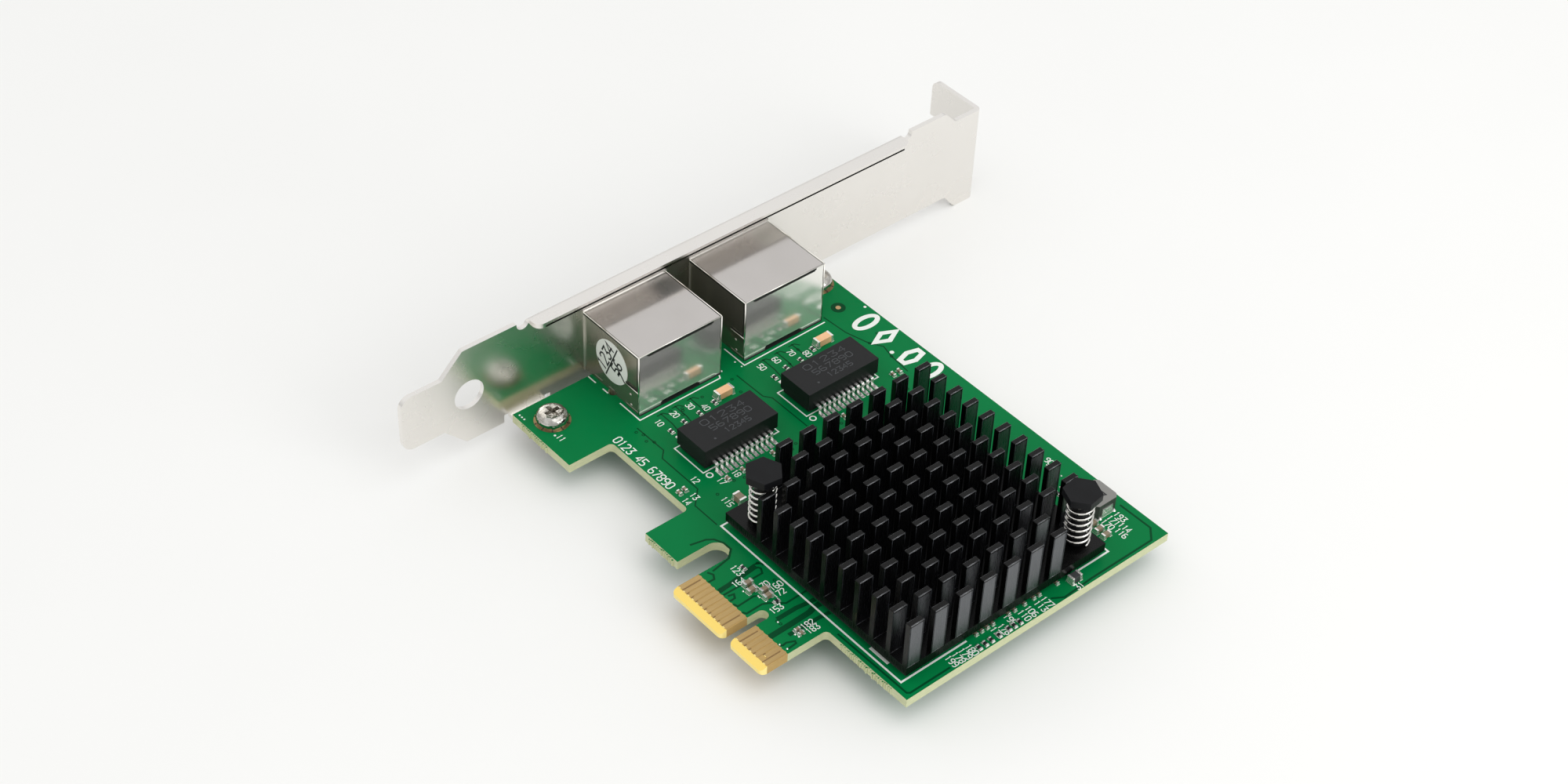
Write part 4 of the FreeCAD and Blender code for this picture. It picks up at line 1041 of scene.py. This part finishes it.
class CARD_OT_heatsink(bpy.types.Operator):
    """Finish the heatsink, its pad, its push pins and the chip under it"""
    bl_idname = "card.heatsink"
    bl_label = "Heatsink and push pins"

    # Radius of the bars of painted highlight on the top edges and on the other edges, and how far
    # in the top ones lie
    EDGE = 0.045
    CORNER = 0.04
    EDGE_IN = 0.075

    def inset(self, value, low, high):
        """One limit of a face, moved in onto the rounded edge. Limits that are the same both
        move the same way."""
        return low + self.EDGE_IN if value == low else high - self.EDGE_IN

    def execute(self, context):
        colours = context.scene.card_colours
        dress(anodised_black(colours), "heatsink")
        dress(moulded_epoxy(colours), "controller_chip")
        # Painted highlight: bars of light grey metal along the long top edges, and a painted
        # reflection along each fin's foot
        painted_highlight = plain_finish("painted_highlight_anodised_edge", "#A4A6A9", "#8E9093", 0.42, 1.5, Metallic=1.0)
        # Painted highlight on the upright corners, in dark grey metal
        thin = plain_finish("painted_highlight_anodised_corner", "#515458", "#404347", 0.3, 1.5, Metallic=1.0)
        edges, corners, feet = Relief(on_board), Relief(on_board), Relief(on_board)
        top = FIN_TOP - self.EDGE_IN
        for x0, x1, y0, y1 in fins_of("heatsink"):
            near, far = self.inset(y0, y0, y1), self.inset(y1, y0, y1)
            for x in (self.inset(x0, x0, x1), self.inset(x1, x0, x1)):
                edges.bar((x, near, top), (x, far, top), self.EDGE, 6)
                for y in (near, far):
                    corners.bar((x, y, FIN_FOOT), (x, y, top), self.CORNER, 6)
            feet.bar((x1, y0, FIN_FOOT), (x1, y1, FIN_FOOT), self.CORNER, 6)
        edges.finish("fin_edges", painted_highlight, "heatsink", smooth=True)
        corners.finish("fin_corners", thin, "heatsink", smooth=True)
        feet.finish("fin_foot_glints", painted_highlight, "heatsink", smooth=True)
        # Silicone filled with ceramic powder: matt grey and slightly tacky
        dress(plain_finish("filled_silicone_pad", "#8E9296", "#7E8286", 0.8, 0.8), "thermal_pad")
        dress(moulded_black("moulded_black_nylon", "#0C0C0E", 0.25), "push_pins")
        soften(0.1, "push_pins")
        return {"FINISHED"}


class CARD_OT_springs(bpy.types.Operator):
    """Wind the push-pin springs from smooth round wire"""
    bl_idname = "card.springs"
    bl_label = "Push-pin springs"

    TURNS = 7
    STEPS = 30
    SIDES = 10

    def execute(self, context):
        wire = context.scene.card_sizes.wire / MM / 2
        # Hard-drawn spring steel, nickel flashed: bright with a drawn lustre
        steel = plain_finish("drawn_spring_steel", "#F2F0EC", "#C9C6C0", 0.14, 0.6, Metallic=1.0)
        coils = Relief(on_board)
        total = self.TURNS * self.STEPS
        for low, high in solids_in("push_pin_springs"):
            x, y = (low[0] + high[0]) / 2, (low[1] + high[1]) / 2
            radius = (high[0] - low[0]) / 2 - wire
            base, top = low[2] + wire, high[2] - wire
            rings = []
            for i in range(total + 1):
                turn = 2 * math.pi * i / self.STEPS
                rings.append([(x + out * math.cos(turn), y + out * math.sin(turn), z)
                              for out, z in circle(radius, base + (top - base) * i / total, wire,
                                                   self.SIDES)])
            coils.skin(rings)
        springs = coils.finish("push_pin_wire", steel, "spring", smooth=True)
        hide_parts("push_pin_springs")
        return {"FINISHED"}


class CARD_OT_small_parts(bpy.types.Operator):
    """Finish the chip parts and the inductor, and solder them to the board"""
    bl_idname = "card.small_parts"
    bl_label = "Chip parts and inductor"

    # Small dots of tin on bare pads: radius at the foot and the top, height and places
    DOT = (0.17, 0.08, 0.1)
    TIN_DOTS = [
        (51.58, -4.42), (52.65, -4.19), (53.65, -3.34), (53.99, -3.35), (55.14, -3.13),
        (59.39, -4.45), (62.77, -4.11), (63.43, -3.96), (62.89, -7.1), (64.19, -6.78),
        (59.96, 49.44), (63.08, 49.51), (64.76, 47.55),
    ]
    # Beads at the inductor's corners: the same, and their place out of its ends and in from
    # its sides
    BEAD = (0.36, 0.14, 0.3)
    BEAD_OUT = 0.1
    BEAD_IN = 0.9
    # A thin film of solder, then a cone on it: its spread and its slope as shares of the film's
    # reach, and its height as a share of the part's
    FILM_HEIGHT = 0.04
    CONE_REACH = 0.8
    CONE_SLOPE = 0.78
    CONE_RISE = 0.5
    # The inductor's mark: text, height, stroke and thickness
    MARK = ("47", 1.7, 0.24, 0.02)

    def execute(self, context):
        tin = tin_solder()
        dress(tin, "capacitor_end_caps", "resistor_end_caps", "inductor_terminals")
        # Fired ceramics: barium titanate is tan to brown, a high-voltage body is orange,
        # and a resistor has a black glass overcoat
        dress(plain_finish("orange_fired_ceramic", "#FBCB9C", "#F2BC8A", 0.4, 0.8),
              "isolation_capacitors")
        dress(plain_finish("brown_fired_ceramic", "#97876F", "#7F725E", 0.42, 0.4),
              "ceramic_capacitors")
        dress(plain_finish("black_glass_overcoat", "#141416", "#1E1F22", 0.3, 0.4),
              "chip_resistors")
        dress(pressed_powder(), "power_inductor")
        # Fired ferrite: grey, dense and smooth
        dress(plain_finish("fired_ferrite", "#3A3B3C", "#2C2D2E", 0.45, 0.3), "ferrite_bead")
        soften(0.08, "power_inductor")
        soften(0.05, "isolation_capacitors", "ceramic_capacitors", "capacitor_end_caps",
               "resistor_end_caps", "ferrite_bead", "chip_resistors")
        self.solder(context.scene.card_sizes.solder_reach / MM, tin)
        low, high = solids_in("power_inductor")[0]
        beads = Relief(on_board)
        foot, top, height = self.DOT
        for x, y in self.TIN_DOTS:
            beads.disc(x, y, foot, -SUNK, height, top, 12)
        foot, top, height = self.BEAD
        for y in (low[1] + self.BEAD_IN, high[1] - self.BEAD_IN):
            for x in (low[0] - self.BEAD_OUT, high[0] + self.BEAD_OUT):
                beads.disc(x, y, foot, -SUNK, height, top)
        beads.finish("tin_dots", tin, "plating")

        def on_coil(x, y, z):
            return on_board((low[0] + high[0]) / 2 + x, (low[1] + high[1]) / 2 + y, high[2] + z)

        mark = Relief(on_coil)
        text, height, stroke, ink_height = self.MARK
        mark.figures(text, 0.0, 0.0, height, stroke, -SUNK, ink_height)
        black_ink = plain_finish("black_marking_ink", "#17181A", "#1F2022", 0.5, 0.4)
        mark.finish("inductor_mark", black_ink, "ferrite")
        return {"FINISHED"}

    def solder(self, reach, tin):
        """Solder round the ends of the chip parts and the inductor."""
        front, back = Relief(on_board), Relief(under_board)
        for node in ("capacitor_end_caps", "resistor_end_caps", "inductor_terminals"):
            for low, high in solids_in(node):
                side = front if high[2] > 0 else back
                cone = reach * self.CONE_REACH
                side.block(low[0] - reach, high[0] + reach, low[1] - reach, high[1] + reach,
                           -SUNK, self.FILM_HEIGHT)
                side.block(low[0] - cone, high[0] + cone, low[1] - cone, high[1] + cone,
                           0.0, (high[2] - low[2]) * self.CONE_RISE, reach * self.CONE_SLOPE)
        front.finish("chip_part_solder", tin, "plating")
        back.finish("chip_part_solder_back", tin, "plating")


class CARD_OT_solder_side(bpy.types.Operator):
    """Finish the parts on the solder side and add the soldered tails of the sockets"""
    bl_idname = "card.solder_side"
    bl_label = "Solder side"

    # A tail's solder: its pad's radius, its cone's foot, top and height, and the tail's thickness
    TAIL_PAD = 0.42
    TAIL_CONE = (0.3864, 0.2, 0.9)
    TAIL_THICKNESS = 0.28
    # The same for a shield's tab, with its place along the card and in from the shield's sides
    TAB_PAD = 1.25
    TAB_CONE = (1.15, 0.8, 0.7)
    TAB_X = 5.4
    TAB_IN = 0.4
    FILM_HEIGHT = 0.04
    # The memory chip's middle, and the solder under its feet: from and to along a foot from its
    # toe, what it spreads beside it, height and slope
    CHIP_Y = 30.0
    FOOT_ALONG = (0.8, 0.4)
    FOOT_BESIDE = 0.08
    FOOT_HEIGHT = 0.1
    FOOT_SLOPE = 0.06

    def execute(self, context):
        tin = tin_solder()
        dress(moulded_epoxy(context.scene.card_colours), "memory_chip", "voltage_regulator")
        dress(tin, "memory_chip_leads")
        # Stainless lid, seam-welded: flat and softly brushed
        dress(plain_finish("stainless_lid", "#C9C8C4", "#B7B6B1", 0.3, 0.5, Metallic=1.0),
              "crystal")
        soften(0.08, "memory_chip", "voltage_regulator", "crystal")
        joints = Relief(under_board)
        for side in ("left", "right"):
            foot, top, height = self.TAIL_CONE
            for low, high in solids_in("jack_contacts_" + side):
                x, y = high[0] - self.TAIL_THICKNESS / 2, (low[1] + high[1]) / 2
                joints.disc(x, y, self.TAIL_PAD, -SUNK, self.FILM_HEIGHT)
                joints.disc(x, y, foot, 0.0, height, top)
            foot, top, height = self.TAB_CONE
            low, high = solids_in("jack_shield_" + side)[0]
            for y in (low[1] + self.TAB_IN, high[1] - self.TAB_IN):
                joints.disc(self.TAB_X, y, self.TAB_PAD, -SUNK, self.FILM_HEIGHT, steps=24)
                joints.disc(self.TAB_X, y, foot, 0.0, height, top, steps=24)
        for low, high in solids_in("memory_chip_leads"):
            way, toe = (1, high[1]) if low[1] > self.CHIP_Y else (-1, low[1])
            y0, y1 = sorted((toe - way * self.FOOT_ALONG[0], toe + way * self.FOOT_ALONG[1]))
            joints.block(low[0] - self.FOOT_BESIDE, high[0] + self.FOOT_BESIDE, y0, y1, -SUNK,
                         self.FOOT_HEIGHT, self.FOOT_SLOPE)
        joints.finish("solder_joints_back", tin, "lead")
        return {"FINISHED"}


class CARD_OT_printing(bpy.types.Operator):
    """Print the white outlines, plain figures and plain shapes on the board"""
    bl_idname = "card.printing"
    bl_label = "White printing"

    # Open outlines round the sockets, and round the heatsink with its break by the front edge
    SOCKET_LINES = [
        [(0.1, 6.5), (2.05, 6.5)], [(3.85, 6.52), (5.2, 6.52)],
        [(8.2, 6.56), (13.3, 6.56), (13.3, 22.7), (12.7, 23.0)],
        [(8.2, 27.74), (13.3, 27.74), (13.15, 44.9)],
    ]
    SINK_LINE = [(79.05, 14.3), (79.05, 1.6), (39.2, 1.6), (39.2, 43.4), (79.05, 43.4),
                 (79.05, 36.0)]
    SINK_WIDER = 1.4
    # The heatsink's corner mark, drawn bold
    CORNER_LINE = [(71.4, 2.6), (75.3, 2.6)]
    BOLD = 0.5
    # Outlines of the transformers: limits across, length and where each starts, and the place of
    # the pin-one ring from there with its radius
    CASE_X = (21.62, 28.64)
    CASE_LENGTH = 15.1
    CASE_Y = (6.75, 27.6)
    PIN_ONE = (29.6, 0.48, 0.5)
    # Small figures: text, x, y and turn in degrees
    LABELS = [
        ("11", 8.98, -5.55, 0), ("10", 15.62, 8.53, 0), ("20", 15.56, 11.68, 0),
        ("30", 15.53, 14.75, 0), ("40", 17.26, 16.49, 0), ("50", 15.38, 29.62, 0),
        ("60", 15.49, 32.55, 0), ("70", 15.57, 35.58, 0), ("80", 17.37, 37.5, 0),
        ("12", 29.03, 4.8, 0), ("17", 31.75, 7.81, 0), ("18", 31.81, 10.67, 0),
        ("115", 35.78, 5.62, 0), ("13", 31.78, 2.49, 0), ("14", 31.95, 0.85, 0),
        ("123", 47.77, -2.51, 0), ("164", 49.8, -3.8, 90), ("170", 52.5, -1.49, 90),
        ("160", 53.7, 0.03, 90), ("172", 55.1, -0.6, 90), ("153", 57.27, -2.92, 90),
        ("182", 62.38, -1.38, 90), ("183", 63.5, -1.36, 90), ("193", 75.05, 50.13, 0),
        ("171", 74.94, 48.76, 0), ("170", 75.0, 47.45, 0), ("114", 77.1, 49.0, 0),
        ("116", 77.6, 47.7, 0), ("31", 81.4, 34.9, 90), ("177", 80.8, 28.9, 0),
        ("113", 80.8, 27.55, 0), ("106", 80.71, 25.77, 0), ("110", 80.64, 24.35, 0),
        ("195", 79.9, 22.2, 0), ("176", 80.8, 20.2, 0), ("175", 80.6, 18.9, 0),
        ("180", 80.8, 13.7, 0), ("179", 80.75, 12.45, 0), ("178", 80.7, 11.2, 0),
        ("199", 80.6, 9.95, 0), ("90", 59.6, 50.35, 0),
    ]
    # The long row beside the rear edge: text, place, height and how much bolder it is
    ROW = ("0123 45 67890", 21.2, 1.1, 1.5, 1.3)
    # Dots: x, y and radius
    DOTS = [(0.82, -7.42, 0.16), (1.43, -7.42, 0.16), (2.04, -7.42, 0.16), (14.29, 52.7, 0.25),
            (25.5, 48.5, 0.38), (7.93, -5.9, 0.2),
            (12.13, 23.89, 0.2), (11.76, 27.05, 0.16), (13.24, 27.2, 0.14)]
    # Large plain shapes near the top edge: x and number of sides of each, the row's y, radius,
    # how narrow they are and width of their line
    SHAPES = ((17.3, 40), (22.0, 4), (28.2, 6), (32.6, 40))
    SHAPE_Y = 50.25
    SHAPE_RADIUS = 2.3
    SHAPE_NARROW = 0.48
    SHAPE_LINE = 0.85
    # Figures and one outline on the solder side, and how much larger the figures are there
    BACK_LABELS = [("1", 10.0, 10.0), ("2", 10.0, 30.0), ("30", 26.0, 33.0), ("42", 45.0, 47.5),
                   ("64", 67.5, 48.5), ("0123456789", 58.0, 36.0)]
    BACK_OUTLINE = [(26.9, 26.7), (33.1, 26.7), (33.1, 33.3), (26.9, 33.3)]
    BACK_LARGER = 1.3
    # The target for the placing machine: place, radius and height of its clearing and its copper
    TARGET = (11.72, 49.1)
    CLEARING = (1.25, 0.012)
    COPPER = (0.45, 0.03)

    def execute(self, context):
        colours, sizes = context.scene.card_colours, context.scene.card_sizes
        # Screened epoxy ink: opaque white with soft rims
        ink = plain_finish("screened_white_epoxy_ink", colours.ink, "#E6EAE4", 0.6, 0.6)
        top = sizes.ink_height / MM
        line = sizes.line_width / MM
        stroke = sizes.figure_stroke / MM
        small = sizes.figure_height / MM
        printing = Relief(on_board)
        for path in self.SOCKET_LINES:
            printing.line(path, line, -SUNK, top)
        x0, x1 = self.CASE_X
        x, along, radius = self.PIN_ONE
        for y in self.CASE_Y:
            end = y + self.CASE_LENGTH
            printing.loop([(x0, y), (x1, y), (x1, end), (x0, end)], line, -SUNK, top)
            printing.ring(x, y + along, radius, line, -SUNK, top)
        printing.line(self.SINK_LINE, line * self.SINK_WIDER, -SUNK, top)
        printing.line(self.CORNER_LINE, self.BOLD, -SUNK, top)
        for x, y, radius in self.DOTS:
            printing.disc(x, y, radius, -SUNK, top)
        for text, x, y, turn in self.LABELS:
            printing.figures(text, x, y, small, stroke, -SUNK, top, turn)
        text, x, y, height, bolder = self.ROW
        printing.figures(text, x, y, height, stroke * bolder, -SUNK, top)
        for x, sides in self.SHAPES:
            outline = circle(x, self.SHAPE_Y, self.SHAPE_RADIUS, sides)
            printing.loop([(x + (px - x) * self.SHAPE_NARROW, py) for px, py in outline],
                          self.SHAPE_LINE, -SUNK, top)
        printing.finish("white_printing", ink, "board")
        under = Relief(under_board)
        for text, x, y in self.BACK_LABELS:
            under.figures(text, x, y, small * self.BACK_LARGER, stroke, -SUNK, top)
        under.loop(self.BACK_OUTLINE, line, -SUNK, top)
        under.finish("white_printing_back", ink, "board")
        dark = mask_over_laminate("solder_mask_on_bare_laminate", colours)
        # Copper with a thin gold flash against tarnish: pale and pinkish
        copper = plain_finish("flashed_copper", "#D8B98C", "#C9A676", 0.35, 0.4, Metallic=1.0)
        for name, look, slot, (radius, height), steps in (
                ("target_clearing", dark, "board", self.CLEARING, 32),
                ("placing_target", copper, "gold", self.COPPER, 24)):
            spot = Relief(on_board)
            spot.disc(*self.TARGET, radius, -SUNK, height, steps=steps)
            spot.finish(name, look, slot)
        return {"FINISHED"}


class CARD_OT_sticker(bpy.types.Operator):
    """Finish the round paper sticker and print a dividing line and plain figures on it"""
    bl_idname = "card.sticker"
    bl_label = "Inspection sticker"

    # The line and the rows of figures climb at this angle; text, x, z and height
    SLANT = 66.6
    ROWS = [("1234", -1.5, 0.32, 2.2), ("56", 1.27, -0.2, 2.0), ("7", 2.6, -1.5, 1.8)]
    # How far the line reaches as a share of the radius, its width, the figures' and their height
    LINE_REACH = 0.94
    LINE_WIDTH = 0.26
    STROKE = 0.3
    INK_HEIGHT = 0.02

    def execute(self, context):
        # Coated label paper: clean white with a dull sheen
        paper = plain_finish("coated_label_paper", "#F4F6F1", "#ECEFE8", 0.55, 0.8)
        dress(paper, "inspection_sticker")
        low, high = solids_in("inspection_sticker")[0]

        def on_sticker(x, z, out):
            return Vector((board_x + ((low[0] + high[0]) / 2 + x) * MM,
                           board_y + (low[1] - out) * MM, ((low[2] + high[2]) / 2 + z) * MM))

        ink = plain_finish("black_label_ink", "#141517", "#1C1D1F", 0.5, 0.5)
        marks = Relief(on_sticker)
        reach = (high[0] - low[0]) / 2 * self.LINE_REACH
        slant = math.radians(self.SLANT)
        x, z = reach * math.cos(slant), reach * math.sin(slant)
        marks.line([(-x, -z), (x, z)], self.LINE_WIDTH, -SUNK, self.INK_HEIGHT)
        for text, x, z, height in self.ROWS:
            marks.figures(text, x, z, height, self.STROKE, -SUNK, self.INK_HEIGHT, self.SLANT)
        marks.finish("sticker_print", ink, "sticker")
        return {"FINISHED"}


class CARD_OT_stage(bpy.types.Operator):
    """Lay the floor, hang the soft lights and set the camera"""
    bl_idname = "card.stage"
    bl_label = "Floor, lights and camera"

    # Half the floor's width, and the lights' sizes and places, in metres from the card's middle
    FLOOR_HALF = 2.5
    OVERHEAD = (0.8, (0.3, 0.12, 0.85))
    BESIDE = (0.5, (0.62, 0.18, 0.34))
    AIM = Vector((0.0, 0.03, 0.0))
    # How far up the dome reaches its full brightness
    FULL_SKY = 0.6
    # The camera's place in the drawing
    CAMERA_PLACE = (249.5, -178.9, 273.3)

    def execute(self, context):
        scene = context.scene
        stage = scene.card_stage
        self.floor(scene, stage)
        self.soft_box(scene, "overhead_light", stage.key, *self.OVERHEAD)
        self.soft_box(scene, "side_light", stage.side, *self.BESIDE)
        self.dome(scene, stage)
        self.camera(scene, stage)
        # Colours and whites come out as in a plain product photograph
        scene.view_settings.view_transform = "Standard"
        return {"FINISHED"}

    def floor(self, scene, stage):
        """A wide plain floor under the card's lowest point."""
        look, tree, shader = finish_called("matt_paper_backdrop", Roughness=0.9)
        tint(tree, shader, mottle(tree, 60.0), stage.floor, "#F0F0EE")
        half, z = self.FLOOR_HALF, cad_box[0][2]
        mesh = bpy.data.meshes.new("floor")
        mesh.from_pydata([(-half, -half, z), (half, -half, z), (half, half, z), (-half, half, z)],
                         [], [(0, 1, 2, 3)])
        mesh.materials.append(look)
        floor = bpy.data.objects.new("floor", mesh)
        scene.collection.objects.link(floor)

    def soft_box(self, scene, name, power, size, place):
        """A round soft light that looks at the card."""
        light = bpy.data.lights.new(name, "AREA")
        light.shape = "DISK"
        light.size = size
        light.energy = power
        lamp = bpy.data.objects.new(name, light)
        lamp.location = place
        lamp.rotation_euler = (self.AIM - Vector(place)).to_track_quat("-Z", "Y").to_euler()
        scene.collection.objects.link(lamp)

    def dome(self, scene, stage):
        """A dome that is bright overhead and falls off towards the horizon."""
        world = bpy.data.worlds.new("studio_dome")
        world.use_nodes = True
        tree = world.node_tree
        tree.nodes.clear()
        glow = add(tree, "MapRange", {
            "Value": axes(tree, "TexCoord", "Generated")["Z"], "From Min": 0.0,
            "From Max": self.FULL_SKY, "To Min": stage.horizon, "To Max": stage.sky})
        background = add(tree, "Background", {"Color": "#FFFFFF",
                                              "Strength": glow.outputs["Result"]})
        add(tree, "OutputWorld", {"Surface": background.outputs["Background"]})
        scene.world = world

    def camera(self, scene, stage):
        """A camera that looks along the turn and the tilt of the settings."""
        level = math.cos(stage.elevation)
        view = Vector((-math.sin(stage.azimuth) * level, math.cos(stage.azimuth) * level,
                       -math.sin(stage.elevation)))
        flat = view.cross(Vector((0, 0, 1))).normalized()
        right = flat * math.cos(stage.roll) + flat.cross(view) * math.sin(stage.roll)
        turn = Matrix((right, right.cross(view), -view)).transposed().to_4x4()
        camera = bpy.data.cameras.new("camera")
        camera.lens = stage.lens
        camera.sensor_width = 36.0
        camera.clip_start = 0.01
        eye = bpy.data.objects.new("camera", camera)
        eye.matrix_world = Matrix.Translation(on_board(*self.CAMERA_PLACE)) @ turn
        scene.collection.objects.link(eye)
        scene.camera = eye


OPERATORS = (
    CARD_OT_board, CARD_OT_copper, CARD_OT_edge_contacts, CARD_OT_bracket, CARD_OT_sockets,
    CARD_OT_transformers, CARD_OT_heatsink, CARD_OT_springs, CARD_OT_small_parts,
    CARD_OT_solder_side, CARD_OT_printing, CARD_OT_sticker, CARD_OT_stage,
)
SETTINGS = {"card_colours": CardColours, "card_sizes": CardSizes, "card_stage": StageSettings}


class CARD_PT_sidebar(bpy.types.Panel):
    """The card's colours, sizes and steps in the 3D view's sidebar"""
    bl_idname = "CARD_PT_sidebar"
    bl_label = "Network card"
    bl_space_type = "VIEW_3D"
    bl_region_type = "UI"
    bl_category = "Card"

    def draw(self, context):
        for name, kind in SETTINGS.items():
            box = self.layout.box()
            for setting in kind.__annotations__:
                box.prop(getattr(context.scene, name), setting)
        for step in OPERATORS:
            self.layout.operator(step.bl_idname)


CLASSES = (*SETTINGS.values(), *OPERATORS, CARD_PT_sidebar)


def register():
    for cls in CLASSES:
        bpy.utils.register_class(cls)
    for name, kind in SETTINGS.items():
        setattr(bpy.types.Scene, name, bpy.props.PointerProperty(type=kind))


def unregister():
    for name in SETTINGS:
        delattr(bpy.types.Scene, name)
    for cls in reversed(CLASSES):
        bpy.utils.unregister_class(cls)


def main():
    register()
    for step in OPERATORS:
        group, name = step.bl_idname.split(".")
        getattr(getattr(bpy.ops, group), name)()


if __name__ == "__main__":
    main()
